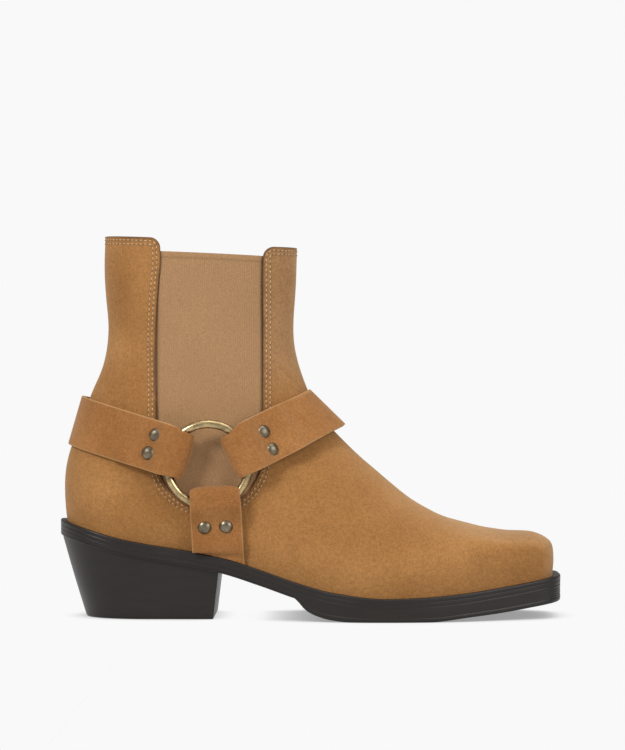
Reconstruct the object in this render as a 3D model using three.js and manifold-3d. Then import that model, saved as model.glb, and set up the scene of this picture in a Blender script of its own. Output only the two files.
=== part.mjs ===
// Harness boot for the right foot: a hollow suede upper with elastic gores on a stacked sole with an
// angled block heel, and three straps on a brass ring at each side.
// Lengths are in millimetres. X runs from the heel to the toe, Y to the inner side and Z up.
import * as THREE from 'three';
import { mergeVertices } from 'three/addons/utils/BufferGeometryUtils.js';
import Module from 'manifold-3d';

const wasm = await Module();
wasm.setup();

// Sole and heel.
const soleLength = 279;
const seatHeight = 53.5;
const weltWidth = 3.7;
const weltThickness = 2.5;
const midsoleThickness = 2.5;
const outsoleThickness = 3.7;
const forefootThickness = 12.7;
const toeSpring = 11.2;
const heelBackSlope = 0.3;
const heelBaseLength = 72;
const heelBaseWidth = 57;
const heelBreast = 86.5;
const heelBreastLean = 3;
const heelTopInset = 1;
const insoleThickness = 3;
const insoleEase = 1.4;

// Last: widths across the upper, and heights above the floor.
const heelWidth = 63;
const waistWidth = 66;
const ballWidth = 92;
const toeWidth = 45;
const toeHeight = 48.2;
const instepHeight = 117;
const toeCorner = 14;
const toePower = 4.2;
const heelCorner = 31;
const heelPower = 2.1;

// Shaft and gores.
const collarHeight = 211.5;
const collarLength = 107.3;
const collarWidth = 62;
const ankleWidth = 59;
const wall = 2;
const frontTabDrop = 5.7;
const tabCorner = 6;
const goreWidth = 58.6;
const goreBottom = 61;
const goreDrop = 8.4;
const goreTilt = 3.3;
const goreThickness = 1.6;
const goreLap = 8;

// Harness.
const strapWidth = 28;
const strapThickness = 2;
const ringBore = 39.8;
const ringWire = 4.7;
const ringHeight = 85.4;
const rivetReach = 34;
const rivetSpacing = 10.8;
const rivetDiameter = 7.6;
const rivetDome = 1.9;
const rivetShank = 3;

// Clearance between pieces that touch, and the room between a strap and the suede.
const gap = 0.3;
const strapRoom = 0.45;

const shaftBack = 0.0896 * soleLength;
const ringPlace = 0.299 * soleLength;
const goreMiddle = 0.303 * soleLength;
const ringRadius = (ringBore + ringWire) / 2;
const soleThickness = weltThickness + midsoleThickness + outsoleThickness;

const materials = {
  suede: { color: 0xa97c4a, roughness: 0.95, metalness: 0 },
  elastic: { color: 0xb08c5f, roughness: 0.9, metalness: 0 },
  sole: { color: 0x1f1a17, roughness: 0.4, metalness: 0 },
  lining: { color: 0xc2a279, roughness: 0.85, metalness: 0 },
  brass: { color: 0x8a7448, roughness: 0.35, metalness: 1 },
};

// A place along the upper, from its back end at the seat to the front of its toe.
const alongUpper = (share) => weltWidth + share * (soleLength - 2 * weltWidth);

// Top of the welt, from the back of the heel to the toe.
const featherRise = seatHeight - forefootThickness;
const featherRows = [
  { along: 0.0, height: forefootThickness + 1.0 * featherRise },
  { along: 0.06, height: forefootThickness + 0.902 * featherRise },
  { along: 0.135, height: forefootThickness + 0.767 * featherRise },
  { along: 0.32, height: forefootThickness + 0.547 * featherRise },
  { along: 0.402, height: forefootThickness + 0.375 * featherRise },
  { along: 0.476, height: forefootThickness + 0.203 * featherRise },
  { along: 0.547, height: forefootThickness + 0.076 * featherRise },
  { along: 0.65, height: forefootThickness },
  { along: 0.714, height: forefootThickness + 0.045 * toeSpring },
  { along: 0.786, height: forefootThickness + 0.18 * toeSpring },
  { along: 0.895, height: forefootThickness + 0.54 * toeSpring },
  { along: 1.0, height: forefootThickness + 1.0 * toeSpring },
];

// How far the half sole reaches from the waist's underside to the ground, and the toe's lift.
const treadRows = [
  { along: 0.474, share: 0.0, lift: 0 },
  { along: 0.495, share: 0.45, lift: 0 },
  { along: 0.52, share: 0.7, lift: 0 },
  { along: 0.545, share: 0.87, lift: 0 },
  { along: 0.584, share: 1.0, lift: 0 },
  { along: 0.733, share: 1.0, lift: 0 },
  { along: 0.813, share: 1.0, lift: 0.134 * toeSpring },
  { along: 0.873, share: 1.0, lift: 0.32 * toeSpring },
  { along: 0.945, share: 1.0, lift: 0.715 * toeSpring },
  { along: 1.0, share: 1.0, lift: 1.0 * toeSpring },
];

// Width of the upper at the feather line, the offset of its middle to the inner side, and the
// offset of the ridge over the foot.
const planRows = [
  { along: 0.0, width: heelWidth, bias: 0, ridge: 0 },
  { along: 0.18, width: 1.01 * heelWidth, bias: -0.004 * ballWidth, ridge: 0 },
  { along: 0.36, width: waistWidth, bias: -0.028 * ballWidth, ridge: 0 },
  { along: 0.5, width: 0.81 * ballWidth, bias: -0.045 * ballWidth, ridge: 0.01 * ballWidth },
  { along: 0.61, width: 0.955 * ballWidth, bias: -0.028 * ballWidth, ridge: 0.035 * ballWidth },
  { along: 0.7, width: ballWidth, bias: 0.0, ridge: 0.05 * ballWidth },
  { along: 0.79, width: 0.935 * ballWidth, bias: 0.02 * ballWidth, ridge: 0.045 * ballWidth },
  { along: 0.88, width: 0.76 * ballWidth, bias: 0.034 * ballWidth, ridge: 0.034 * ballWidth },
  { along: 1.0, width: 1.02 * toeWidth, bias: 0.04 * ballWidth, ridge: 0.04 * ballWidth },
];

// Outline of the upper from the toe's front over the vamp and the instep up to the collar.
const shaftRise = collarHeight - instepHeight;
const topRows = [
  { x: alongUpper(0.9967), z: 0.46 * toeHeight },
  { x: alongUpper(0.9989), z: 0.68 * toeHeight },
  { x: alongUpper(0.992), z: 0.86 * toeHeight },
  { x: alongUpper(0.9658), z: 0.95 * toeHeight },
  { x: alongUpper(0.9068), z: 1.0 * toeHeight },
  { x: alongUpper(0.8406), z: 1.058 * toeHeight },
  { x: alongUpper(0.7817), z: 1.145 * toeHeight },
  { x: alongUpper(0.7228), z: 0.535 * instepHeight },
  { x: alongUpper(0.6491), z: 0.6675 * instepHeight },
  { x: alongUpper(0.5755), z: 0.817 * instepHeight },
  { x: alongUpper(0.5184), z: 0.965 * instepHeight },
  { x: shaftBack + 1.033 * collarLength, z: instepHeight + 0.159 * shaftRise },
  { x: shaftBack + 0.989 * collarLength, z: instepHeight + 0.349 * shaftRise },
  { x: shaftBack + 0.9795 * collarLength, z: instepHeight + 0.497 * shaftRise },
  { x: shaftBack + 0.993 * collarLength, z: instepHeight + 0.751 * shaftRise },
  { x: shaftBack + collarLength, z: instepHeight + 1.05 * shaftRise },
];

// Outline of the upper's back from the seat up to the collar.
const backRise = collarHeight - seatHeight;
const backRows = [
  { x: alongUpper(0), z: seatHeight - 0.01 * backRise },
  { x: alongUpper(-0.0055), z: seatHeight + 0.092 * backRise },
  { x: alongUpper(-0.0015), z: seatHeight + 0.193 * backRise },
  { x: alongUpper(0.0144), z: seatHeight + 0.294 * backRise },
  { x: alongUpper(0.0475), z: seatHeight + 0.4335 * backRise },
  { x: shaftBack - 0.0125 * collarLength, z: seatHeight + 0.5475 * backRise },
  { x: shaftBack + 0.0115 * collarLength, z: seatHeight + 0.661 * backRise },
  { x: shaftBack + 0.002 * collarLength, z: seatHeight + 0.788 * backRise },
  { x: shaftBack - 0.004 * collarLength, z: seatHeight + 0.9146 * backRise },
  { x: shaftBack, z: seatHeight + 1.035 * backRise },
];

// How deep the upper rounds over its outline, and how square that rounding is.
const crownRows = [
  { along: 0.0, reach: toeCorner, power: toePower },
  { along: 0.08, reach: toeCorner, power: 4 },
  { along: 0.14, reach: 0.9 * toeCorner, power: 3.6 },
  { along: 0.24, reach: 1.5 * toeCorner, power: 2.8 },
  { along: 0.36, reach: 0.4 * ballWidth, power: 2.3 },
  { along: 0.5, reach: 0.47 * ballWidth, power: 2.1 },
  { along: 0.68, reach: 0.5 * collarLength, power: 2 },
  { along: 1.0, reach: 0.5 * collarLength, power: 2 },
];
const backCrownRows = [
  { along: 0.0, reach: heelCorner, power: heelPower },
  { along: 0.2, reach: 1.1 * heelCorner, power: heelPower },
  { along: 0.5, reach: 0.46 * collarLength, power: 2 },
  { along: 0.7, reach: 0.5 * collarLength, power: 2 },
  { along: 1.0, reach: 0.5 * collarLength, power: 2 },
];

// Sections of the upper: where each one starts on the top outline, and where it ends on the
// lower one, which runs to 1 along the feather line and from there to 2 up the back.
const fanRows = [
  { top: 0.0, low: 0.0, steps: 3 },
  { top: 0.035, low: 0.008, steps: 2 },
  { top: 0.07, low: 0.022, steps: 2 },
  { top: 0.105, low: 0.05, steps: 4 },
  { top: 0.22, low: 0.17, steps: 5 },
  { top: 0.4, low: 0.36, steps: 5 },
  { top: 0.55, low: 0.65, steps: 4 },
  { top: 0.63, low: 0.89, steps: 3 },
  { top: 0.66, low: 0.97, steps: 2 },
  { top: 0.672, low: 1.0, steps: 2 },
  { top: 0.69, low: 1.07, steps: 6 },
  { top: 0.8, low: 1.52, steps: 5 },
  { top: 1.0, low: 2.0, steps: 0 },
];

const clamp = THREE.MathUtils.clamp;
const lerp = THREE.MathUtils.lerp;
const smoothstep = THREE.MathUtils.smoothstep;

// Value of one column of a table at a place, level with no overshoot between its rows.
function column(rows, at, name) {
  const last = rows.length - 1;
  const place = clamp(at, rows[0].along, rows[last].along);
  let i = 0;
  while (i < last - 1 && place > rows[i + 1].along) i += 1;
  const slope = (k) => (rows[k + 1][name] - rows[k][name]) / (rows[k + 1].along - rows[k].along);
  const tangent = (k) => {
    if (k === 0) return slope(0);
    if (k === last) return slope(last - 1);
    const product = slope(k - 1) * slope(k);
    return product <= 0 ? 0 : (2 * product) / (slope(k - 1) + slope(k));
  };
  const span = rows[i + 1].along - rows[i].along;
  const t = (place - rows[i].along) / span;
  const start = rows[i][name] * (1 + 2 * t) * (1 - t) ** 2 + tangent(i) * span * t * (1 - t) ** 2;
  const end = rows[i + 1][name] * t * t * (3 - 2 * t) - tangent(i + 1) * span * t * t * (1 - t);
  return start + end;
}

// A smooth outline through rows of x and z, as points of even spacing with their share of its length.
function outline(rows, count) {
  const curve = new THREE.CatmullRomCurve3(rows.map((row) => new THREE.Vector3(row.x, 0, row.z)));
  curve.arcLengthDivisions = 600;
  return curve.getSpacedPoints(count).map((p, i) => ({ x: p.x, z: p.z, along: i / count }));
}

// Depth of a place inside an outline, and the share along it of the nearest point. The form
// lies on the left of the outline's way for a side of 1, and on its right for -1.
function nearest(points, x, z, side) {
  let best = { depth: Infinity, along: 0, sign: 1 };
  for (let i = 0; i < points.length - 1; i += 1) {
    const a = points[i];
    const b = points[i + 1];
    const dx = b.x - a.x;
    const dz = b.z - a.z;
    const t = clamp(((x - a.x) * dx + (z - a.z) * dz) / (dx * dx + dz * dz), 0, 1);
    const depth = Math.hypot(x - a.x - t * dx, z - a.z - t * dz);
    const sign = Math.sign(dx * (z - a.z) - dz * (x - a.x)) * side;
    if (depth < best.depth) best = { depth, along: lerp(a.along, b.along, t), sign };
  }
  return { depth: best.depth * best.sign, along: best.along };
}

const topSteps = 160;
const backSteps = 100;
const topLine = outline(topRows, topSteps);
const backLine = outline(backRows, backSteps);

const featherHeight = (x) => column(featherRows, x / soleLength, 'height');

// Share of the full width that is left at a depth inside an outline.
function roundOver(depth, reach, power) {
  const share = clamp(depth / reach, 0, 1);
  return (1 - (1 - share) ** power) ** (1 / power);
}

// Half the width of the shaft at a height.
function shaftHalf(z) {
  const rise = clamp((z - instepHeight) / shaftRise, 0, 1);
  return lerp(ankleWidth, collarWidth, smoothstep(rise, 0, 1)) / 2;
}

// Above the feather line the foot first swells, and then blends into the shaft.
const swell = { width: 0.02 * ballWidth, end: 0.12 * instepHeight };
const shaftBlend = { start: 0.1 * instepHeight, end: 0.78 * instepHeight };

// The upper's two side faces at a place in the side view, for a surface that lies inset from it.
function upperSides(x, z, inset) {
  const top = nearest(topLine, x, z, 1);
  const back = nearest(backLine, x, z, -1);
  const rise = z - featherHeight(x);
  const blend = smoothstep(rise, shaftBlend.start, shaftBlend.end);
  const along = x / soleLength;
  const foot = column(planRows, along, 'width') / 2 + swell.width * smoothstep(rise, 0, swell.end);
  const half = lerp(foot, shaftHalf(z), blend) - inset;
  const reach = column(crownRows, top.along, 'reach') - inset;
  const crown = roundOver(top.depth - inset, reach, column(crownRows, top.along, 'power'));
  const backReach = column(backCrownRows, back.along, 'reach') - inset;
  const backPower = column(backCrownRows, back.along, 'power');
  const backCrown = roundOver(back.depth - inset, backReach, backPower);
  const width = half * crown * backCrown;
  const wallMiddle = column(planRows, along, 'bias') * (1 - blend);
  const ridgeMiddle = column(planRows, along, 'ridge') * (1 - blend);
  const middle = lerp(ridgeMiddle, wallMiddle, crown);
  return { outer: middle - width, inner: middle + width };
}

// Point of an outline at a share of its length, moved inwards.
function insetPoint(points, share, inset, side) {
  const last = points.length - 1;
  const i = clamp(Math.floor(share * last), 0, last - 1);
  const t = share * last - i;
  const a = points[i];
  const b = points[i + 1];
  const length = Math.hypot(b.x - a.x, b.z - a.z);
  const nx = (side * (b.z - a.z)) / length;
  const nz = (-side * (b.x - a.x)) / length;
  return { x: lerp(a.x, b.x, t) + nx * inset, z: lerp(a.z, b.z, t) + nz * inset };
}

// The two lines along which the sections end: the feather line, and the back from the seat up.
function lowerLines(inset, drop) {
  const toe = topRows[0].x - inset;
  const heel = backRows[0].x + inset;
  const count = 90;
  const feather = [];
  for (let i = 0; i <= count; i += 1) {
    const x = lerp(toe, heel, i / count);
    feather.push({ x, z: featherHeight(x) + gap - drop });
  }
  const back = [feather[count]];
  for (let i = 0; i <= count; i += 1) {
    const p = insetPoint(backLine, i / count, inset, 1);
    if (p.z > feather[count].z + 1) back.push(p);
  }
  return { feather, back };
}

// Point of a line of points at a share of its length.
function pointAlong(points, share) {
  const lengths = [0];
  for (let i = 1; i < points.length; i += 1) {
    const step = Math.hypot(points[i].x - points[i - 1].x, points[i].z - points[i - 1].z);
    lengths.push(lengths[i - 1] + step);
  }
  const target = share * lengths[lengths.length - 1];
  let i = 1;
  while (i < points.length - 1 && lengths[i] < target) i += 1;
  const t = clamp((target - lengths[i - 1]) / (lengths[i] - lengths[i - 1]), 0, 1);
  return { x: lerp(points[i - 1].x, points[i].x, t), z: lerp(points[i - 1].z, points[i].z, t) };
}

// Corners closer than this are one corner.
const weld = 0.002;

// Triangles gathered into one geometry, without the ones that have no area.
class Skin {
  constructor() {
    this.corners = [];
  }

  triangle(a, b, c) {
    const same = (p, q) => p.distanceTo(q) < 2 * weld;
    if (same(a, b) || same(b, c) || same(c, a)) return;
    for (const p of [a, b, c]) this.corners.push(p.x, p.y, p.z);
  }

  quad(a, b, c, d) {
    this.triangle(a, b, c);
    this.triangle(a, c, d);
  }

  geometry() {
    const geometry = new THREE.BufferGeometry();
    geometry.setAttribute('position', new THREE.Float32BufferAttribute(this.corners, 3));
    return mergeVertices(geometry, weld);
  }
}

// A geometry as a solid that can be joined and cut, and back.
function toSolid(geometry) {
  const bare = geometry.index ? geometry.toNonIndexed() : geometry.clone();
  for (const name of Object.keys(bare.attributes)) {
    if (name !== 'position') bare.deleteAttribute(name);
  }
  const merged = mergeVertices(bare, weld);
  const mesh = new wasm.Mesh({
    numProp: 3,
    vertProperties: new Float32Array(merged.attributes.position.array),
    triVerts: new Uint32Array(merged.index.array),
  });
  return new wasm.Manifold(mesh);
}

function toGeometry(solid) {
  const mesh = solid.getMesh();
  const geometry = new THREE.BufferGeometry();
  geometry.setAttribute('position', new THREE.Float32BufferAttribute(mesh.vertProperties, 3));
  geometry.setIndex(Array.from(mesh.triVerts));
  return geometry;
}

// A prism across the boot, between two places in Y, from an outline in the side view.
function sidePrism(points, from, to) {
  const shape = new THREE.Shape(points.map((p) => new THREE.Vector2(p.x, p.z)));
  const geometry = new THREE.ExtrudeGeometry(shape, { depth: to - from, bevelEnabled: false });
  geometry.rotateX(Math.PI / 2);
  geometry.translate(0, to, 0);
  return toSolid(geometry);
}

// Columns on each side of a full section, and the share of them on its rounded top.
const sectionColumns = 12.5;
const roundedShare = 0.58;
// How much of the full count of sections and columns a solid's form has.
const outerDensity = 0.95;
const innerDensity = 0.7;

// The filled form of the upper, inset from its surface. Drop is how far it runs on below the
// feather line, and density its share of the full count of sections and columns.
function lastSolid(inset, drop, density) {
  const { feather, back } = lowerLines(inset, drop);
  const lines = [];
  for (let r = 0; r < fanRows.length - 1; r += 1) {
    const steps = Math.max(1, Math.round(fanRows[r].steps * density));
    for (let s = 0; s < steps; s += 1) {
      const top = lerp(fanRows[r].top, fanRows[r + 1].top, s / steps);
      lines.push({ top, low: lerp(fanRows[r].low, fanRows[r + 1].low, s / steps) });
    }
  }
  lines.push({ top: 1, low: 2 });
  const columns = Math.round(sectionColumns * density);
  const sections = lines.map((line) => {
    const start = insetPoint(topLine, line.top, inset, -1);
    const end = line.low <= 1 ? pointAlong(feather, line.low) : pointAlong(back, line.low - 1);
    if (line.low === 2) end.z = start.z;
    return sectionPoints(start, end, inset, columns, line.top);
  });
  return closeSections(sections);
}

// The first section takes its width from just behind the toe's front, so that the front is flat.
const frontStep = 0.2;
// Where along the top outline the sections start to end on the back, and its rounding.
const backTurn = { start: 0.55, end: 0.66 };
const topReach = 1.25;
const mostReach = 0.52;

// Points of one section, from its top to its lower end, as pairs on the two sides.
function sectionPoints(start, end, inset, columns, share) {
  const length = Math.hypot(end.x - start.x, end.z - start.z);
  const reach = Math.min(topReach * column(crownRows, share, 'reach'), mostReach * length);
  const rounded = Math.round(roundedShare * columns);
  const turned = smoothstep(share, backTurn.start, backTurn.end);
  const outer = [];
  const inner = [];
  for (let j = 0; j <= columns; j += 1) {
    let travel = 0;
    if (j <= rounded) {
      travel = (reach * (1 - Math.cos((j / rounded) * (Math.PI / 2)))) / length;
    } else {
      const t = (j - rounded) / (columns - rounded);
      travel = lerp(reach / length, 1, lerp(t, Math.sin((t * Math.PI) / 2), turned));
    }
    const x = lerp(start.x, end.x, travel);
    const z = lerp(start.z, end.z, travel);
    const sides = upperSides(share === 0 ? x - frontStep : x, z, inset);
    const onTop = j === 0;
    const middle = (sides.outer + sides.inner) / 2;
    outer.push(new THREE.Vector3(x, onTop ? middle : sides.outer, z));
    inner.push(new THREE.Vector3(x, onTop ? middle : sides.inner, z));
  }
  return { outer, inner };
}

// A closed skin over sections: their two sides, the underside, and the two ends.
function closeSections(sections) {
  const skin = new Skin();
  const last = sections[0].outer.length - 1;
  for (let i = 0; i < sections.length - 1; i += 1) {
    const a = sections[i];
    const b = sections[i + 1];
    for (let j = 0; j < last; j += 1) {
      skin.quad(a.outer[j], b.outer[j], b.outer[j + 1], a.outer[j + 1]);
      skin.quad(a.inner[j], a.inner[j + 1], b.inner[j + 1], b.inner[j]);
    }
    skin.quad(a.outer[last], b.outer[last], b.inner[last], a.inner[last]);
  }
  capSection(skin, sections[0], false);
  capSection(skin, sections[sections.length - 1], true);
  return toSolid(skin.geometry());
}

function capSection(skin, section, flip) {
  const { outer, inner } = section;
  for (let j = 0; j < outer.length - 1; j += 1) {
    if (flip) skin.quad(outer[j], inner[j], inner[j + 1], outer[j + 1]);
    else skin.quad(outer[j], outer[j + 1], inner[j + 1], inner[j]);
  }
}

// The cut that leaves the shaft's two tabs and the gores' openings, over and between them.
function openingOutline() {
  const rear = goreMiddle - goreWidth / 2;
  const front = goreMiddle + goreWidth / 2;
  const backTab = collarHeight;
  const frontTab = collarHeight - frontTabDrop;
  const over = collarHeight + collarLength;
  return [
    { x: -soleLength, z: over },
    { x: -soleLength, z: backTab },
    ...arc(rear - tabCorner, backTab - tabCorner, tabCorner, 90, 0, 4),
    ...arc(goreMiddle, goreBottom + goreWidth / 2, goreWidth / 2, 180, 360, 16),
    ...arc(front + tabCorner, frontTab - tabCorner, tabCorner, 180, 90, 4),
    { x: soleLength, z: frontTab },
    { x: soleLength, z: over },
  ];
}

// Points of a round stretch between two bearings in degrees.
function arc(x, z, radius, from, to, steps) {
  const points = [];
  for (let i = 0; i <= steps; i += 1) {
    const angle = THREE.MathUtils.degToRad(lerp(from, to, i / steps));
    points.push({ x: x + radius * Math.cos(angle), z: z + radius * Math.sin(angle) });
  }
  return points;
}

// Everything on one side of the feather line, as a prism across the boot.
function underFeather(lift) {
  const count = 40;
  const points = [{ x: -soleLength, z: -soleLength }, { x: 2 * soleLength, z: -soleLength }];
  points.push({ x: 2 * soleLength, z: featherHeight(soleLength) + lift });
  for (let i = count; i >= 0; i -= 1) {
    const x = (soleLength * i) / count;
    points.push({ x, z: featherHeight(x) + lift });
  }
  points.push({ x: -soleLength, z: seatHeight + lift });
  return sidePrism(points, -soleLength, soleLength);
}

// The filled form inside the upper. Its sections are the same at each inset, so that the facets
// of the wall and the gores lie parallel.
const innerSolid = (inset) => lastSolid(inset, weltWidth + wall, innerDensity);

function makeUpper() {
  const hollow = innerSolid(wall);
  const opening = sidePrism(openingOutline(), -soleLength, soleLength);
  const filled = lastSolid(0, wall, outerDensity).subtract(underFeather(gap));
  return toGeometry(filled.subtract(hollow).subtract(opening));
}

// One gore: a band of the shell inside the upper, which laps behind the edges of its opening.
function makeGore(side) {
  const rear = goreMiddle - goreWidth / 2 - goreLap;
  const front = goreMiddle + goreWidth / 2 + goreLap;
  const radius = goreWidth / 2 + goreLap;
  const topAtRear = collarHeight - goreDrop;
  const topAtFront = topAtRear - goreTilt;
  const outlinePoints = [
    { x: front, z: topAtFront },
    { x: rear, z: topAtRear },
    ...arc(goreMiddle, goreBottom + goreWidth / 2, radius, 180, 360, 14),
  ];
  const from = side > 0 ? 0 : -soleLength;
  const block = sidePrism(outlinePoints, from, from + soleLength);
  const outside = innerSolid(wall + gap);
  const inside = innerSolid(wall + gap + goreThickness);
  return toGeometry(outside.subtract(inside).intersect(block));
}

// Half the width of the sole at a place, for an edge that lies inset from the welt's.
function soleHalf(x, inset) {
  const half = column(planRows, x / soleLength, 'width') / 2 + weltWidth - inset;
  const toe = roundOver(soleLength - inset - x, toeCorner + weltWidth - inset, toePower);
  const heel = roundOver(x - inset, heelCorner + weltWidth - inset, heelPower);
  return half * toe * heel;
}

// Counts of places round the heel, between, and round the toe.
const heelTurns = 7;
const soleSteps = 19;
const toeTurns = 6;

// Places along a sole piece, close together where the heel and the toe turn.
function stations(inset) {
  const heelReach = heelCorner + weltWidth - inset;
  const toeReach = toeCorner + weltWidth - inset;
  const places = [];
  for (let i = 0; i < heelTurns; i += 1) {
    places.push(inset + heelReach * (1 - Math.cos((i / heelTurns) * (Math.PI / 2))));
  }
  for (let i = 0; i < soleSteps; i += 1) {
    places.push(lerp(inset + heelReach, soleLength - inset - toeReach, i / soleSteps));
  }
  for (let i = toeTurns; i >= 0; i -= 1) {
    const turn = Math.cos((i / (toeTurns + 0.5)) * (Math.PI / 2)) ** (2 / toePower);
    places.push(soleLength - inset - toeReach * (1 - turn));
  }
  return places;
}

// One level of a sole piece: an edge all round at an inset, at a height that follows X.
function soleLevel(inset, height) {
  const outer = [];
  const inner = [];
  for (const x of stations(inset)) {
    const middle = column(planRows, x / soleLength, 'bias');
    const half = soleHalf(x, inset);
    outer.push(new THREE.Vector3(x, middle - half, height(x)));
    inner.push(new THREE.Vector3(x, middle + half, height(x)));
  }
  return { outer, inner };
}

// Walls between two levels, the upper one first.
function wallBetween(skin, high, low) {
  const last = high.outer.length - 1;
  for (let i = 0; i < last; i += 1) {
    skin.quad(high.outer[i], low.outer[i], low.outer[i + 1], high.outer[i + 1]);
    skin.quad(high.inner[i], high.inner[i + 1], low.inner[i + 1], low.inner[i]);
  }
  skin.quad(high.outer[last], low.outer[last], low.inner[last], high.inner[last]);
  skin.quad(high.outer[0], high.inner[0], low.inner[0], low.outer[0]);
}

// A solid from levels that follow each other downwards, filled between its two sides.
function stack(levels) {
  const skin = new Skin();
  for (let i = 0; i < levels.length - 1; i += 1) wallBetween(skin, levels[i], levels[i + 1]);
  capSection(skin, levels[0], false);
  capSection(skin, levels[levels.length - 1], true);
  return skin.geometry();
}

// A ring from levels that go round its section.
function ringOf(levels) {
  const skin = new Skin();
  for (let i = 0; i < levels.length; i += 1) {
    wallBetween(skin, levels[i], levels[(i + 1) % levels.length]);
  }
  return skin.geometry();
}

// The welt: a lip all round that the upper stands on, open inside for the insole.
const weltRows = [
  { down: 0.0, inset: 0.16 * weltWidth },
  { down: 0.35, inset: 0 },
  { down: 1.0, inset: 0.14 * weltWidth },
  { down: 1.0, inset: weltWidth + wall },
  { down: 0.0, inset: weltWidth + wall },
];

function makeWelt() {
  return ringOf(weltRows.map((row) => {
    return soleLevel(row.inset, (x) => featherHeight(x) - row.down * weltThickness);
  }));
}

const midsoleRows = [
  { down: 0.0, inset: 0.22 * weltWidth },
  { down: 0.5, inset: 0.14 * weltWidth },
  { down: 1.0, inset: 0.24 * weltWidth },
];

function makeMidsole() {
  const top = weltThickness + gap;
  const bottom = weltThickness + midsoleThickness;
  return stack(midsoleRows.map((row) => {
    return soleLevel(row.inset, (x) => featherHeight(x) - lerp(top, bottom, row.down));
  }));
}

function makeInsole() {
  const inset = weltWidth + wall + gap + insoleEase;
  const bottom = (x) => featherHeight(x) - weltThickness;
  return stack([soleLevel(inset, (x) => bottom(x) + insoleThickness), soleLevel(inset, bottom)]);
}

// The ground face of the outsole: the waist's underside, the bevelled step and the half sole.
function outsoleBottom(x) {
  const along = x / soleLength;
  const waist = featherHeight(x) - soleThickness;
  const share = along < treadRows[0].along ? 0 : column(treadRows, along, 'share');
  return lerp(waist, column(treadRows, along, 'lift'), share);
}

// Where the ribs at the toe's front start, and where they are full.
const ribStart = 0.94 * soleLength;
const ribFull = 0.975 * soleLength;

// Side of the outsole, from its top down: insets, and the depth of the grooves between toe ribs.
const outsoleRows = [
  { down: 0.0, inset: 0.24 * weltWidth, groove: 0 },
  { down: 0.1, inset: 0.05 * weltWidth, groove: 0 },
  { down: 0.22, inset: 0.05 * weltWidth, groove: 0.16 * weltWidth },
  { down: 0.34, inset: 0.05 * weltWidth, groove: 0 },
  { down: 0.46, inset: 0.05 * weltWidth, groove: 0.16 * weltWidth },
  { down: 0.67, inset: 0.22 * weltWidth, groove: 0 },
  { down: 0.75, inset: 0.05 * weltWidth, groove: 0 },
  { down: 1.0, inset: 0.24 * weltWidth, groove: 0 },
];

function makeOutsole() {
  const top = (x) => featherHeight(x) - weltThickness - midsoleThickness - gap;
  return stack(outsoleRows.map((row) => {
    const height = (x) => lerp(top(x), outsoleBottom(x), row.down);
    const level = soleLevel(row.inset, height);
    for (const p of [...level.outer, ...level.inner]) {
      p.x -= row.groove * smoothstep(p.x, ribStart, ribFull);
    }
    return level;
  }));
}

// The heel: a block that narrows to its base, with a sloped back and a near upright breast.
const heelRows = [
  { up: 1, spread: 1 },
  { up: 0.66, spread: 0.62 },
  { up: 0.33, spread: 0.28 },
  { up: 0, spread: 0 },
];

function makeHeel() {
  const round = 8;
  const straight = 4;
  const reach = heelCorner + weltWidth;
  const base = heelBreast - heelBaseLength;
  const lean = (seatHeight - soleThickness) * heelBackSlope;
  return stack(heelRows.map((row) => {
    const outer = [];
    const inner = [];
    const rear = base - lean * row.up;
    const breast = heelBreast + heelBreastLean * row.up;
    for (let i = 0; i <= round + straight; i += 1) {
      const turn = reach * (1 - Math.cos(Math.min(i / round, 1) * (Math.PI / 2)));
      const x = lerp(rear + turn, breast, Math.max(0, (i - round) / straight));
      const full = column(planRows, x / soleLength, 'width') / 2 + weltWidth - heelTopInset;
      const half = lerp(heelBaseWidth / 2, full, row.spread) * roundOver(x - rear, reach, heelPower);
      const z = row.up * (featherHeight(x) - soleThickness - gap);
      outer.push(new THREE.Vector3(x, -half, z));
      inner.push(new THREE.Vector3(x, half, z));
    }
    return { outer, inner };
  }));
}

// Where a strap folds: the wire's inside crosses the strap's edge this far from the ring's centre.
const foldRadius = ringWire / 2 + gap;
const pocketEnd = ringRadius + foldRadius;
const doubleStart = rivetReach - rivetDiameter / 2;
const doubleEnd = rivetReach + 1.6 * rivetDiameter;
const stepStart = doubleEnd + strapThickness / 2;
const stepEnd = doubleEnd + 3 * strapThickness;
// The least distance between two places of a strap's path, and how closely it follows its seat.
const pathStep = 0.8;
const pathTolerance = 0.2;

function foldPlace(edge) {
  return Math.sqrt((ringBore / 2) ** 2 - edge ** 2) + foldRadius - gap;
}

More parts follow.
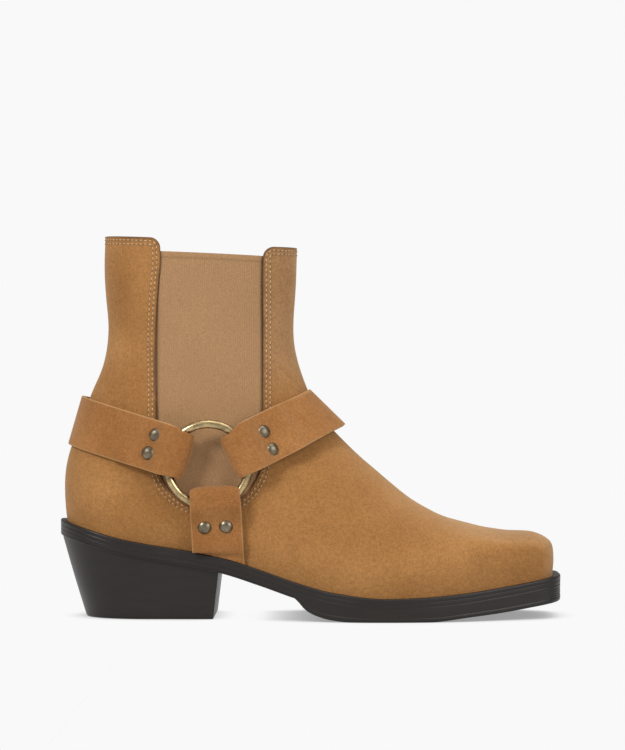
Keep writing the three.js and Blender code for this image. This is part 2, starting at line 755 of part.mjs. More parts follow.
// Side view plane of a strap: it leaves the ring's centre at a bearing, and lies across it at an
// angle that turns to its own value at the far end.
class StrapPlane {
  constructor({ bearing, across, farAcross, shift }) {
    const radians = THREE.MathUtils.degToRad;
    this.way = { x: Math.cos(radians(bearing)), z: Math.sin(radians(bearing)) };
    this.near = radians(across);
    this.far = radians(farAcross);
    this.shift = shift;
    this.fold = foldPlace(strapWidth / 2 + Math.abs(shift));
    this.turnStart = rivetReach;
    this.turnEnd = rivetReach + strapWidth;
  }

  acrossAt(p) {
    const angle = lerp(this.near, this.far, smoothstep(p, this.turnStart, this.turnEnd));
    return { x: Math.cos(angle), z: Math.sin(angle) };
  }

  place(p, w) {
    const across = this.acrossAt(p);
    return {
      x: ringPlace + p * this.way.x + (w + this.shift) * across.x,
      z: ringHeight + p * this.way.z + (w + this.shift) * across.z,
    };
  }

  // How far along the strap an outline reaches within the strap's width.
  crest(points) {
    const a = { x: Math.cos(this.far), z: Math.sin(this.far) };
    const det = this.way.x * a.z - this.way.z * a.x;
    let reach = 0;
    for (const q of points) {
      const x = q.x - ringPlace;
      const z = q.z - ringHeight;
      const p = (x * a.z - z * a.x) / det;
      const w = (this.way.x * z - this.way.z * x) / det;
      if (Math.abs(w) <= strapWidth / 2 + strapThickness) reach = Math.max(reach, p);
    }
    return reach + strapRoom;
  }

  // The furthest that the upper stands out under the strap's width.
  bulk(p, sides) {
    let most = 0;
    for (let i = -6; i <= 6; i += 1) {
      const at = this.place(p, (i / 6) * (strapWidth / 2));
      const faces = upperSides(at.x, at.z, 0);
      if (faces.inner - faces.outer < gap) continue;
      if (sides !== 1) most = Math.max(most, -faces.outer);
      if (sides !== -1) most = Math.max(most, faces.inner);
    }
    return most;
  }
}

const rearPlane = new StrapPlane({ bearing: 162.5, across: 72.9, farAcross: 72.9, shift: 0 });
const instepPlane = new StrapPlane({ bearing: 26.3, across: 116.3, farAcross: 135.5, shift: 0 });
const downPlane = new StrapPlane({ bearing: -86, across: 4, farAcross: 4, shift: 1.8 });

// The ring's middle plane stands out past the suede, one layer of strap and the wire.
const underRing = [rearPlane, instepPlane, downPlane].map((plane) => {
  const reaches = [0, 0.5, 1].map((share) => plane.bulk(lerp(plane.fold, pocketEnd, share), 0));
  return Math.max(...reaches);
});
const layerSeat = Math.max(...underRing) + strapRoom;
const ringOffset = layerSeat + strapThickness + foldRadius;

// The tight line of a strap over places that it must clear, in order along it.
function tightLine(points) {
  const hull = [];
  for (const q of points) {
    while (hull.length > 1) {
      const a = hull[hull.length - 2];
      const b = hull[hull.length - 1];
      if ((b.p - a.p) * (q.y - a.y) - (b.y - a.y) * (q.p - a.p) < 0) break;
      hull.pop();
    }
    hull.push(q);
  }
  return hull;
}

// A line with only the points that keep it within a tolerance.
function thin(points, tolerance) {
  const last = points.length - 1;
  const a = points[0];
  const b = points[last];
  const length = Math.hypot(b.p - a.p, b.y - a.y);
  let worst = 0;
  let at = 0;
  for (let i = 1; i < last; i += 1) {
    const q = points[i];
    const off = Math.abs((b.p - a.p) * (q.y - a.y) - (b.y - a.y) * (q.p - a.p)) / length;
    if (off > worst) {
      worst = off;
      at = i;
    }
  }
  if (worst < tolerance) return [a, b];
  return [...thin(points.slice(0, at + 1), tolerance), ...thin(points.slice(at), tolerance).slice(1)];
}

// Inner face of a strap from its fold to its far end. A strap that goes over the crest ends in
// the middle plane of the boot.
function seatLine(plane, sides, end, overCrest) {
  const samples = [];
  const count = 48;
  for (let i = 0; i <= count; i += 1) {
    const p = lerp(pocketEnd, end, Math.sin((i / count) * (Math.PI / 2)));
    samples.push({ p, y: plane.bulk(p, sides) + strapRoom });
  }
  if (overCrest) samples[count] = { p: end, y: 0 };
  const start = [{ p: plane.fold, y: layerSeat }, { p: pocketEnd, y: layerSeat }];
  return thin(tightLine([...start, ...samples]), pathTolerance);
}

// Height of a line at a place along it, with its slope there.
function lineAt(line, p) {
  let i = 1;
  while (i < line.length - 1 && line[i].p < p) i += 1;
  const a = line[i - 1];
  const b = line[i];
  const slope = (b.y - a.y) / (b.p - a.p);
  return { y: a.y + slope * (p - a.p), slope };
}

// How far the strap's outer layer stands off the inner face: over the wire, then on the fold's end.
function layerLift(p) {
  const overWire = strapThickness + 2 * foldRadius;
  const onLayer = strapThickness + gap;
  const down = smoothstep(p, pocketEnd, doubleStart);
  const off = smoothstep(p, stepStart, stepEnd);
  return lerp(lerp(overWire, onLayer, down), 0, off);
}

// Middle line of a strap through its leather: the folded end, the fold and the outer layer.
function strapLine(plane, line, overCrest) {
  const last = line[line.length - 1];
  const half = strapThickness / 2;
  const stops = [0.3, 0.6, 1].map((t) => lerp(pocketEnd, doubleStart, t));
  const ends = [0, 0.5, 1].map((t) => lerp(stepStart, stepEnd, t));
  const turning = plane.near === plane.far ? [] : [0.2, 0.4, 0.6, 0.8, 1];
  const turns = turning.map((t) => lerp(plane.turnStart, plane.turnEnd, t));
  const every = [...line.map((q) => q.p), ...stops, ...ends, ...turns];
  const places = every.filter((p) => p < last.p - half / 2).sort((a, b) => a - b);
  const spaced = [];
  for (const p of places) {
    const before = spaced[spaced.length - 1];
    const rise = spaced.length ? lineAt(line, p).y - lineAt(line, before).y : 0;
    if (spaced.length === 0 || Math.hypot(p - before, rise) > pathStep) spaced.push(p);
  }
  const path = [];
  const inner = [...spaced.filter((p) => p < doubleEnd - pathStep), doubleEnd];
  for (const p of inner.reverse()) {
    const at = lineAt(line, p);
    path.push({ p, y: at.y + half });
  }
  const radius = foldRadius + half;
  for (let i = 1; i < 5; i += 1) {
    const angle = (i / 5) * Math.PI;
    const y = layerSeat + half + radius * (1 - Math.cos(angle));
    path.push({ p: plane.fold - radius * Math.sin(angle), y });
  }
  for (const p of spaced) {
    const at = lineAt(line, p);
    const length = Math.hypot(1, at.slope);
    const out = half + layerLift(p);
    path.push({ p: p - (at.slope / length) * out, y: at.y + out / length });
  }
  if (overCrest) path.push({ p: last.p + half, y: 0 });
  else path.push({ p: last.p, y: last.y + half });
  return path;
}

// A strip of leather along a middle line, as a closed solid.
function strip(plane, path, side) {
  const at = path.map((q) => {
    const c = plane.place(q.p, 0);
    return new THREE.Vector3(c.x, side * q.y, c.z);
  });
  const skin = new Skin();
  const sections = path.map((q, i) => {
    const a = plane.acrossAt(q.p);
    const across = new THREE.Vector3(a.x, 0, a.z);
    const before = at[Math.max(0, i - 1)];
    const after = at[Math.min(at.length - 1, i + 1)];
    const along = new THREE.Vector3().subVectors(after, before).normalize();
    const normal = new THREE.Vector3().crossVectors(across, along).normalize();
    const corner = (w, t) => at[i].clone()
      .addScaledVector(across, (w * strapWidth) / 2)
      .addScaledVector(normal, (t * strapThickness) / 2);
    return [corner(-1, -1), corner(1, -1), corner(1, 1), corner(-1, 1)];
  });
  for (let i = 0; i < sections.length - 1; i += 1) {
    for (let k = 0; k < 4; k += 1) {
      const n = (k + 1) % 4;
      skin.quad(sections[i][k], sections[i][n], sections[i + 1][n], sections[i + 1][k]);
    }
  }
  const first = sections[0];
  const end = sections[sections.length - 1];
  skin.quad(first[3], first[2], first[1], first[0]);
  skin.quad(end[0], end[1], end[2], end[3]);
  return skin.geometry();
}

// The way round of a path that goes over the crest: one side, then the other mirrored.
function bothSides(path) {
  const back = path.slice(0, -1).reverse().map((q) => ({ p: q.p, y: -q.y }));
  return [...path, ...back];
}

// Faces of a closed geometry turned so that they point out.
function facingOut(geometry) {
  const position = geometry.attributes.position;
  const index = geometry.index.array;
  const corner = (i) => new THREE.Vector3().fromBufferAttribute(position, index[i]);
  let volume = 0;
  for (let i = 0; i < index.length; i += 3) {
    volume += corner(i).dot(corner(i + 1).cross(corner(i + 2)));
  }
  if (volume < 0) {
    for (let i = 0; i < index.length; i += 3) {
      [index[i + 1], index[i + 2]] = [index[i + 2], index[i + 1]];
    }
  }
  return geometry;
}

// Seats of the two rivets at one end of a strap: the middle of the outer face, and its normal.
function rivetSeats(plane, line, side) {
  const at = lineAt(line, rivetReach);
  const length = Math.hypot(1, at.slope);
  const out = layerLift(rivetReach) + strapThickness;
  const p = rivetReach - (at.slope / length) * out;
  const y = at.y + out / length;
  return [-1, 1].map((end) => {
    const c = plane.place(p, (end * rivetSpacing) / 2);
    const way = new THREE.Vector3(plane.way.x, 0, plane.way.z);
    const normal = new THREE.Vector3(0, side, 0).addScaledVector(way, -at.slope).normalize();
    return { middle: new THREE.Vector3(c.x, side * y, c.z), normal };
  });
}

// A round pin along a normal, for the holes through a strap.
function shankHole(seat) {
  const length = 4 * strapThickness;
  const pin = new THREE.CylinderGeometry(rivetShank / 2 + gap, rivetShank / 2 + gap, length, 7);
  pin.applyQuaternion(new THREE.Quaternion().setFromUnitVectors(new THREE.Vector3(0, 1, 0), seat.normal));
  const middle = seat.middle.clone().addScaledVector(seat.normal, -strapThickness - gap);
  pin.translate(middle.x, middle.y, middle.z);
  return toSolid(pin);
}

function rivetGeometry() {
  const radius = rivetDiameter / 2;
  const depth = 2 * strapThickness + gap;
  const profile = [
    [0, rivetDome],
    [0.55 * radius, 0.8 * rivetDome],
    [0.9 * radius, 0.35 * rivetDome],
    [radius, 0],
    [rivetShank / 2, 0],
    [rivetShank / 2, -depth],
    [0, -depth],
  ];
  return new THREE.LatheGeometry(profile.map(([r, y]) => new THREE.Vector2(r, y)).reverse(), 8);
}

const boot = new THREE.Group();
boot.position.x = -(heelBreast - heelBaseLength / 2);

function finish(name) {
  return new THREE.MeshStandardMaterial(materials[name]);
}

function addPiece(name, geometry, material) {
  const piece = new THREE.Mesh(geometry, finish(material));
  piece.name = name;
  boot.add(piece);
  return piece;
}

addPiece('welt', makeWelt(), 'sole');
addPiece('midsole', makeMidsole(), 'sole');
addPiece('outsole', makeOutsole(), 'sole');
addPiece('heel', makeHeel(), 'sole');
addPiece('insole', makeInsole(), 'lining');
addPiece('upper', makeUpper(), 'suede');
addPiece('gore_lateral', makeGore(-1), 'elastic');
addPiece('gore_medial', makeGore(1), 'elastic');

// Straps with their rivets.
const sideNames = [{ side: -1, name: 'lateral' }, { side: 1, name: 'medial' }];

function addStrap(name, solid, seats) {
  const drilled = seats.reduce((left, seat) => left.subtract(shankHole(seat)), solid);
  addPiece(name, toGeometry(drilled), 'suede');
}

function addRivets(name, seats) {
  seats.forEach((seat, i) => {
    const rivet = addPiece(`rivet_${name}_${i + 1}`, rivetGeometry(), 'brass');
    rivet.quaternion.setFromUnitVectors(new THREE.Vector3(0, 1, 0), seat.normal);
    rivet.position.copy(seat.middle).addScaledVector(seat.normal, gap);
  });
}

for (const { name, plane, outlinePoints } of [
  { name: 'rear', plane: rearPlane, outlinePoints: backLine },
  { name: 'instep', plane: instepPlane, outlinePoints: topLine },
]) {
  const line = seatLine(plane, 0, plane.crest(outlinePoints), true);
  const path = bothSides(strapLine(plane, line, true));
  const solid = toSolid(facingOut(strip(plane, path, -1)));
  const seats = sideNames.map(({ side }) => rivetSeats(plane, line, side));
  addStrap(`strap_${name}`, solid, seats.flat());
  sideNames.forEach((entry, k) => addRivets(`${name}_${entry.name}`, seats[k]));
}

for (const { side, name } of sideNames) {
  const end = ringHeight - featherHeight(ringPlace + strapWidth);
  const line = seatLine(downPlane, side, end, false);
  const solid = toSolid(facingOut(strip(downPlane, strapLine(downPlane, line, false), side)));
  const seats = rivetSeats(downPlane, line, side);
  addStrap(`strap_down_${name}`, solid.subtract(underFeather(gap)), seats);
  addRivets(`down_${name}`, seats);
}

// The two rings, flat against the sides.
for (const { side, name } of sideNames) {
  const ring = addPiece(`ring_${name}`, new THREE.TorusGeometry(ringRadius, ringWire / 2, 7, 28), 'brass');
  ring.rotation.x = Math.PI / 2;
  ring.position.set(ringPlace, side * ringOffset, ringHeight);
}

export default boot;
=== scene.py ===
"""A harness boot for the right foot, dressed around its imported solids.

Lengths are in millimetres, with X from the sole's heel end to the toe, Y to the inner side and Z up,
until a mesh is made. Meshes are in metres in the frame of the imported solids.
"""

from __future__ import annotations

import logging
import math
from dataclasses import dataclass, field
from enum import Enum
from typing import Callable, Sequence

import bmesh
import bpy
import numpy as np
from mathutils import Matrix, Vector
from mathutils.bvhtree import BVHTree

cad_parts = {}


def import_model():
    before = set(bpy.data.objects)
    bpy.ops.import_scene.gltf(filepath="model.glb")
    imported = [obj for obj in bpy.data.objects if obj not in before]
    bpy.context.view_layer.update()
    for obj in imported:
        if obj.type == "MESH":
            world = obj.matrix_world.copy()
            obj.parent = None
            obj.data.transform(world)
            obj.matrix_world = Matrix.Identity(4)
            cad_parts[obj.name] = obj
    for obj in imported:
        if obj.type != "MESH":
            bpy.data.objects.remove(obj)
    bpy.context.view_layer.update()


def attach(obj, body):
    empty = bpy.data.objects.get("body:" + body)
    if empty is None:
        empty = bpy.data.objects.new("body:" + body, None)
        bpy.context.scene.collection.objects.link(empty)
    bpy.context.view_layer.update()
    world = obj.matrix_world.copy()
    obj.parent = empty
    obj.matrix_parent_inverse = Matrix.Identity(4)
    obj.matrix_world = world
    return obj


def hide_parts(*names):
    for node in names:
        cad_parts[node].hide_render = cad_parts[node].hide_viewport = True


log = logging.getLogger("boot")
Array = np.ndarray

MM = 0.001
FRAME_SHIFT = -50.5


# ---- Form -------------------------------------------------------------------------------------


def smoothstep(x: Array | float, low: float, high: float) -> Array:
    """Ease from 0 at low to 1 at high."""
    t = np.clip((np.asarray(x, float) - low) / (high - low), 0.0, 1.0)
    return t * t * (3.0 - 2.0 * t)


def lerp(a: Array | float, b: Array | float, t: Array | float) -> Array | float:
    """Blend from a to b."""
    return a + (b - a) * t


def round_over(depth: Array, reach: Array | float, power: Array | float) -> Array:
    """Share of the full width that is left at a depth inside an outline.

    Args:
        depth: Distances inside the outline.
        reach: Depth at which the form has its full width.
        power: How square the rounding is.

    Returns:
        Shares from 0 at the outline to 1.
    """
    share = np.clip(depth / reach, 0.0, 1.0)
    return (1.0 - (1.0 - share) ** power) ** (1.0 / power)


class Table:
    """Rows of named columns over a place, read as smooth lines with no overshoot."""

    def __init__(self, names: Sequence[str], rows: Sequence[Sequence[float]]) -> None:
        """Keep the rows, the first column being the place."""
        data = np.array(rows, float)
        self.along = data[:, 0]
        self.columns = {name: data[:, k + 1] for k, name in enumerate(names)}

    def value(self, name: str, at: Array | float) -> Array:
        """Values of one column.

        Args:
            name: The column.
            at: Places along the table.

        Returns:
            The column's value at each place.
        """
        col = self.columns[name]
        spans = np.diff(self.along)
        slopes = np.diff(col) / spans
        tangents = np.concatenate([slopes[:1], np.zeros(len(slopes) - 1), slopes[-1:]])
        product = slopes[:-1] * slopes[1:]
        total = slopes[:-1] + slopes[1:]
        inner = np.where(product > 0, 2 * product / np.where(product > 0, total, 1.0), 0.0)
        tangents[1:-1] = inner
        place = np.clip(np.asarray(at, float), self.along[0], self.along[-1])
        i = np.clip(np.searchsorted(self.along, place, side="left") - 1, 0, len(spans) - 1)
        t = (place - self.along[i]) / spans[i]
        start = col[i] * (1 + 2 * t) * (1 - t) ** 2 + tangents[i] * spans[i] * t * (1 - t) ** 2
        end = col[i + 1] * t * t * (3 - 2 * t) - tangents[i + 1] * spans[i] * t * t * (1 - t)
        return start + end


class SideLine:
    """A smooth line in the side view through given points, with its points evenly spaced."""

    def __init__(self, rows: Sequence[Sequence[float]], count: int) -> None:
        """Sample a centripetal spline through the rows."""
        p = np.array(rows, float)
        ext = np.vstack([2 * p[0] - p[1], p, 2 * p[-1] - p[-2]])
        pieces = []
        for a, b, c, d in zip(ext[:-3], ext[1:-2], ext[2:-1], ext[3:]):
            da, db, dc = (math.sqrt(float(np.hypot(*(v - u)))) for u, v in ((a, b), (b, c), (c, d)))
            t1 = ((b - a) / da - (c - a) / (da + db) + (c - b) / db) * db
            t2 = ((c - b) / db - (d - b) / (db + dc) + (d - c) / dc) * db
            t = np.linspace(0, 1, 200, endpoint=False)[:, None]
            pieces.append(b + t1 * t + (3 * (c - b) - 2 * t1 - t2) * t**2 + (2 * (b - c) + t1 + t2) * t**3)
        dense = np.vstack([*pieces, p[-1:]])
        self.points = resample(dense, count + 1)
        self.along = np.linspace(0, 1, count + 1)

    def nearest(self, x: Array, z: Array, side: int) -> tuple[Array, Array]:
        """Depth inside the line and the share along it of the nearest point.

        Args:
            x: Places in X.
            z: Heights.
            side: 1 where the form lies on the left of the line's way, -1 on its right.

        Returns:
            Signed depths, and shares of the line's length.
        """
        a = self.points[:-1]
        d = np.diff(self.points, axis=0)
        square = (d**2).sum(1)
        depth = np.empty(x.shape)
        along = np.empty(x.shape)
        flat_x, flat_z = x.ravel(), z.ravel()
        flat_depth, flat_along = depth.ravel(), along.ravel()
        for start in range(0, flat_x.size, 8000):
            rows = slice(start, start + 8000)
            px = flat_x[rows, None] - a[None, :, 0]
            pz = flat_z[rows, None] - a[None, :, 1]
            t = np.clip((px * d[:, 0] + pz * d[:, 1]) / square, 0, 1)
            off = np.hypot(px - t * d[:, 0], pz - t * d[:, 1])
            k = off.argmin(1)
            n = np.arange(len(k))
            sign = np.sign(d[k, 0] * pz[n, k] - d[k, 1] * px[n, k]) * side
            flat_depth[rows] = off[n, k] * sign
            flat_along[rows] = (k + t[n, k]) / len(a)
        return flat_depth.reshape(x.shape), flat_along.reshape(x.shape)

    def inset_point(self, share: float, inset: float, side: int) -> Array:
        """Point at a share of the line's length, moved inwards."""
        last = len(self.points) - 1
        i = int(np.clip(math.floor(share * last), 0, last - 1))
        a, b = self.points[i], self.points[i + 1]
        way = (b - a) / np.hypot(*(b - a))
        return lerp(a, b, share * last - i) + np.array([way[1], -way[0]]) * side * inset


def resample(points: Array, count: int) -> Array:
    """Points spaced evenly along a line of points.

    Args:
        points: The line's points, of any dimension.
        count: How many points to give.

    Returns:
        The new points.
    """
    steps = np.hypot.reduce(np.diff(points, axis=0), axis=1) if points.shape[1] == 2 else None
    if steps is None:
        steps = np.sqrt((np.diff(points, axis=0) ** 2).sum(1))
    lengths = np.concatenate([[0.0], np.cumsum(steps)])
    targets = np.linspace(0, lengths[-1], count)
    return np.stack([np.interp(targets, lengths, points[:, k]) for k in range(points.shape[1])], 1)


@dataclass(frozen=True)
class Sizes:
    """The boot's own sizes."""

    sole_length: float = 279.0
    seat_height: float = 53.5
    welt_width: float = 3.7
    welt_thickness: float = 2.5
    midsole_thickness: float = 2.5
    outsole_thickness: float = 3.7
    forefoot_thickness: float = 12.7
    toe_spring: float = 11.2
    heel_back_slope: float = 0.3
    heel_base_length: float = 72.0
    heel_base_width: float = 57.0
    heel_breast: float = 86.5
    heel_breast_lean: float = 3.0
    heel_width: float = 63.0
    waist_width: float = 66.0
    ball_width: float = 92.0
    toe_width: float = 45.0
    toe_height: float = 48.2
    instep_height: float = 117.0
    toe_corner: float = 14.0
    toe_power: float = 4.2
    heel_corner: float = 31.0
    heel_power: float = 2.1
    collar_height: float = 211.5
    collar_length: float = 107.3
    collar_width: float = 62.0
    ankle_width: float = 59.0
    wall: float = 2.0
    front_tab_drop: float = 5.7
    tab_corner: float = 6.0
    gore_width: float = 58.6
    gore_bottom: float = 61.0
    gore_drop: float = 8.4
    gore_tilt: float = 3.3
    gore_thickness: float = 1.6
    gore_lap: float = 8.0
    strap_width: float = 28.0
    strap_thickness: float = 2.0
    ring_bore: float = 39.8
    ring_wire: float = 4.7
    ring_height: float = 85.4
    rivet_reach: float = 34.0
    rivet_spacing: float = 10.8
    rivet_diameter: float = 7.6
    rivet_dome: float = 1.9
    insole_thickness: float = 3.0
    strap_room: float = 0.45
    gap: float = 0.3

    @property
    def shaft_back(self) -> float:
        """Place of the shaft's back in X."""
        return 0.0896 * self.sole_length

    @property
    def ring_place(self) -> float:
        """Place of the rings' centre in X."""
        return 0.302 * self.sole_length

    @property
    def gore_middle(self) -> float:
        """Place of the gore's middle in X."""
        return 0.303 * self.sole_length

    @property
    def ring_radius(self) -> float:
        """Radius of the ring's wire middle."""
        return (self.ring_bore + self.ring_wire) / 2

    @property
    def sole_thickness(self) -> float:
        """Welt, midsole and outsole together."""
        return self.welt_thickness + self.midsole_thickness + self.outsole_thickness


class Last:
    """The boot's outer form: its side outlines and the two faces between them."""

    def __init__(self, s: Sizes) -> None:
        """Build the tables and lines of the form."""
        self.s = s
        rise = s.seat_height - s.forefoot_thickness
        base = s.forefoot_thickness
        spring = s.toe_spring
        feather = [
            (0.0, base + rise + 0.9), (0.06, base + 0.902 * rise + 0.2), (0.135, base + 0.767 * rise),
            (0.32, base + 0.547 * rise), (0.402, base + 0.375 * rise), (0.476, base + 0.203 * rise),
            (0.547, base + 0.076 * rise), (0.65, base), (0.714, base + 0.045 * spring),
            (0.786, base + 0.18 * spring), (0.895, base + 0.54 * spring), (1.0, base + spring),
        ]
        self.feather_table = Table(["height"], feather)
        ball = s.ball_width
        plan = [
            (0.0, s.heel_width, 0.0, 0.0), (0.18, 1.01 * s.heel_width, -0.004 * ball, 0.0),
            (0.36, s.waist_width, -0.028 * ball, 0.0), (0.5, 0.81 * ball, -0.045 * ball, 0.01 * ball),
            (0.61, 0.955 * ball, -0.028 * ball, 0.035 * ball), (0.7, ball, 0.0, 0.05 * ball),
            (0.79, 0.935 * ball, 0.02 * ball, 0.045 * ball),
            (0.88, 0.76 * ball, 0.034 * ball, 0.034 * ball),
            (1.0, 1.02 * s.toe_width, 0.04 * ball, 0.04 * ball),
        ]
        self.plan = Table(["width", "bias", "ridge"], plan)
        toe, instep = s.toe_height, s.instep_height
        shaft = s.collar_height - instep
        back, length = s.shaft_back, s.collar_length
        top = [
            (self.place(0.9967), 0.46 * toe), (self.place(0.9989), 0.68 * toe), (self.place(0.993), 0.865 * toe),
            (self.place(0.9665), 0.95 * toe), (self.place(0.9068), 0.98 * toe), (self.place(0.8406), 1.04 * toe),
            (self.place(0.7817), 1.132 * toe), (self.place(0.7228), 0.531 * instep),
            (self.place(0.6491), 0.6675 * instep), (self.place(0.5755), 0.817 * instep),
            (self.place(0.5184), 0.965 * instep), (back + 1.033 * length, instep + 0.159 * shaft),
            (back + 0.989 * length, instep + 0.349 * shaft), (back + 0.9795 * length, instep + 0.497 * shaft),
            (back + 0.993 * length, instep + 0.751 * shaft), (back + length, instep + 1.05 * shaft),
        ]
        up = s.collar_height - s.seat_height
        seat = s.seat_height
        heel = [
            (self.place(0), seat - 0.01 * up), (self.place(-0.0055), seat + 0.092 * up),
            (self.place(-0.0015), seat + 0.193 * up), (self.place(0.0144), seat + 0.294 * up),
            (self.place(0.0475), seat + 0.4335 * up), (back - 0.0125 * length, seat + 0.5475 * up),
            (back + 0.0115 * length, seat + 0.661 * up), (back + 0.002 * length, seat + 0.788 * up),
            (back - 0.004 * length, seat + 0.9146 * up), (back, seat + 1.035 * up),
        ]
        self.top = SideLine(top, 320)
        self.back = SideLine(heel, 200)
        corner, heel_corner = s.toe_corner, s.heel_corner
        self.crown = Table(["reach", "power"], [
            (0.0, corner, s.toe_power), (0.08, corner, 4.0), (0.14, 0.9 * corner, 3.6),
            (0.24, 1.5 * corner, 2.8), (0.36, 0.4 * ball, 2.3), (0.5, 0.47 * ball, 2.1),
            (0.68, 0.5 * length, 2.0), (1.0, 0.5 * length, 2.0),
        ])
        self.back_crown = Table(["reach", "power"], [
            (0.0, heel_corner, s.heel_power), (0.2, 1.1 * heel_corner, s.heel_power),
            (0.5, 0.46 * length, 2.0), (0.7, 0.5 * length, 2.0), (1.0, 0.5 * length, 2.0),
        ])
        self.fan = [
            (0.0, 0.0, 3), (0.035, 0.008, 2), (0.07, 0.022, 2), (0.105, 0.05, 4), (0.22, 0.17, 5),
            (0.4, 0.36, 5), (0.55, 0.65, 4), (0.63, 0.89, 3), (0.66, 0.97, 2), (0.672, 1.0, 2),
            (0.69, 1.07, 6), (0.8, 1.52, 5), (1.0, 2.0, 0),
        ]

    def place(self, share: float) -> float:
        """Place in X at a share of the upper's length."""
        return self.s.welt_width + share * (self.s.sole_length - 2 * self.s.welt_width)

    def feather(self, x: Array | float) -> Array:
        """Height of the welt's top."""
        return self.feather_table.value("height", np.asarray(x, float) / self.s.sole_length)

    def sides(self, x: Array, z: Array, inset: Array | float = 0.0) -> tuple[Array, Array]:
        """The two side faces of the form.

        Args:
            x: Places in X.
            z: Heights.
            inset: How far the wanted surface lies inside the form.

        Returns:
            Y of the outer face and of the inner face.
        """
        s = self.s
        x, z = np.asarray(x, float), np.asarray(z, float)
        top_depth, top_along = self.top.nearest(x, z, 1)
        back_depth, back_along = self.back.nearest(x, z, -1)
        rise = z - self.feather(x)
        blend = smoothstep(rise, 0.1 * s.instep_height, 0.78 * s.instep_height)
        swell = 0.02 * s.ball_width * smoothstep(rise, 0, 0.12 * s.instep_height)
        along = x / s.sole_length
        foot = self.plan.value("width", along) / 2 + swell
        shaft_rise = smoothstep(z, s.instep_height, s.collar_height)
        shaft = lerp(s.ankle_width, s.collar_width, shaft_rise) / 2
        half = lerp(foot, shaft, blend) - inset
        reach = self.crown.value("reach", top_along) - inset
        crown = round_over(top_depth - inset, reach, self.crown.value("power", top_along))
        back_reach = self.back_crown.value("reach", back_along) - inset
        heel = round_over(back_depth - inset, back_reach, self.back_crown.value("power", back_along))
        width = half * crown * heel
        wall = self.plan.value("bias", along) * (1 - blend)
        ridge = self.plan.value("ridge", along) * (1 - blend)
        middle = lerp(ridge, wall, crown)
        return middle - width, middle + width

    def face(self, x: Array, z: Array, side: int, inset: Array | float = 0.0) -> Array:
        """Y of one side's face."""
        return self.sides(x, z, inset)[0 if side < 0 else 1]

    def sections(self, inset: float, drop: float, factor: int, columns: int) -> tuple[Array, Array]:
        """Points of the form on sections that fan out from its top outline.

        Args:
            inset: How far the surface lies inside the form.
            drop: How far the sections run on below the feather line.
            factor: How many sections there are for each of the coarse ones.
            columns: How many steps each side of a section has.

        Returns:
            Two grids of points, of the outer and of the inner side.
        """
        toe = self.top.points[0, 0] - inset
        heel = self.back.points[0, 0] + inset
        xs = np.linspace(toe, heel, 181)
        feather = np.stack([xs, self.feather(xs) + self.s.gap - drop], 1)
        up = [self.back.inset_point(t, inset, 1) for t in np.linspace(0, 1, 181)]
        back = np.array([feather[-1], *[p for p in up if p[1] > feather[-1, 1] + 1]])
        tops, lows = [], []
        for (t0, l0, steps), (t1, l1, _) in zip(self.fan[:-1], self.fan[1:]):
            for k in range(steps * factor):
                tops.append(lerp(t0, t1, k / (steps * factor)))
                lows.append(lerp(l0, l1, k / (steps * factor)))
        tops.append(1.0)
        lows.append(2.0)
        feather_even = resample(feather, 721)
        back_even = resample(back, 721)
        starts = np.array([self.top.inset_point(t, inset, -1) for t in tops])
        ends = np.array([point_at(feather_even, l) if l <= 1 else point_at(back_even, l - 1) for l in lows])
        ends[-1, 1] = starts[-1, 1]
        length = np.hypot(*(ends - starts).T)
        share = np.array(tops)
        reach = np.minimum(1.25 * self.crown.value("reach", share), 0.52 * length) / length
        rounded = round(0.58 * columns)
        turned = smoothstep(share, 0.55, 0.66)
        j = np.arange(columns + 1)
        first = 1 - np.cos(np.minimum(j / rounded, 1) * (math.pi / 2))
        t = np.clip((j - rounded) / (columns - rounded), 0, 1)
        rest = lerp(t[None, :], np.sin(t * math.pi / 2)[None, :], turned[:, None])
        travel = np.where(j[None, :] <= rounded, reach[:, None] * first[None, :],
                          lerp(reach[:, None], 1.0, rest))
        x = lerp(starts[:, :1], ends[:, :1], travel)
        z = lerp(starts[:, 1:], ends[:, 1:], travel)
        look = x.copy()
        look[0] -= 0.2
        low, high = self.sides(look, z, inset)
        middle = (low[:, 0] + high[:, 0]) / 2
        low[:, 0] = middle
        high[:, 0] = middle
        return np.stack([x, low, z], 2), np.stack([x, high, z], 2)


def point_at(points: Array, share: float) -> Array:
    """Point at a share of a line of evenly spaced points."""
    at = np.clip(share, 0, 1) * (len(points) - 1)
    i = min(int(at), len(points) - 2)
    return lerp(points[i], points[i + 1], at - i)


# ---- Meshes -----------------------------------------------------------------------------------


def to_frame(points: Array) -> Array:
    """Points of the boot's own axes in metres in the solids' frame."""
    moved = np.array(points, float)
    moved[..., 0] += FRAME_SHIFT
    return moved * MM


def new_object(name: str, points: Array, faces: Sequence[Sequence[int]]) -> bpy.types.Object:
    """A mesh object from points of the boot's own axes.

    Args:
        name: The object's name.
        points: Its corners, in millimetres.
        faces: Corner numbers of its faces.

    Returns:
        The new object, linked to the scene.
    """
    mesh = bpy.data.meshes.new(name)
    mesh.from_pydata(to_frame(points).reshape(-1, 3).tolist(), [], [list(f) for f in faces])
    mesh.validate()
    made = bpy.data.objects.new(name, mesh)
    bpy.context.scene.collection.objects.link(made)
    return made


def clean(made: bpy.types.Object, distance: float = 1e-6) -> None:
    """Weld an object's doubled corners and turn its faces outwards."""
    bm = bmesh.new()
    bm.from_mesh(made.data)
    bmesh.ops.remove_doubles(bm, verts=bm.verts, dist=distance)
    bmesh.ops.dissolve_degenerate(bm, dist=distance, edges=bm.edges)
    bmesh.ops.recalc_face_normals(bm, faces=bm.faces)
    bm.to_mesh(made.data)
    bm.free()


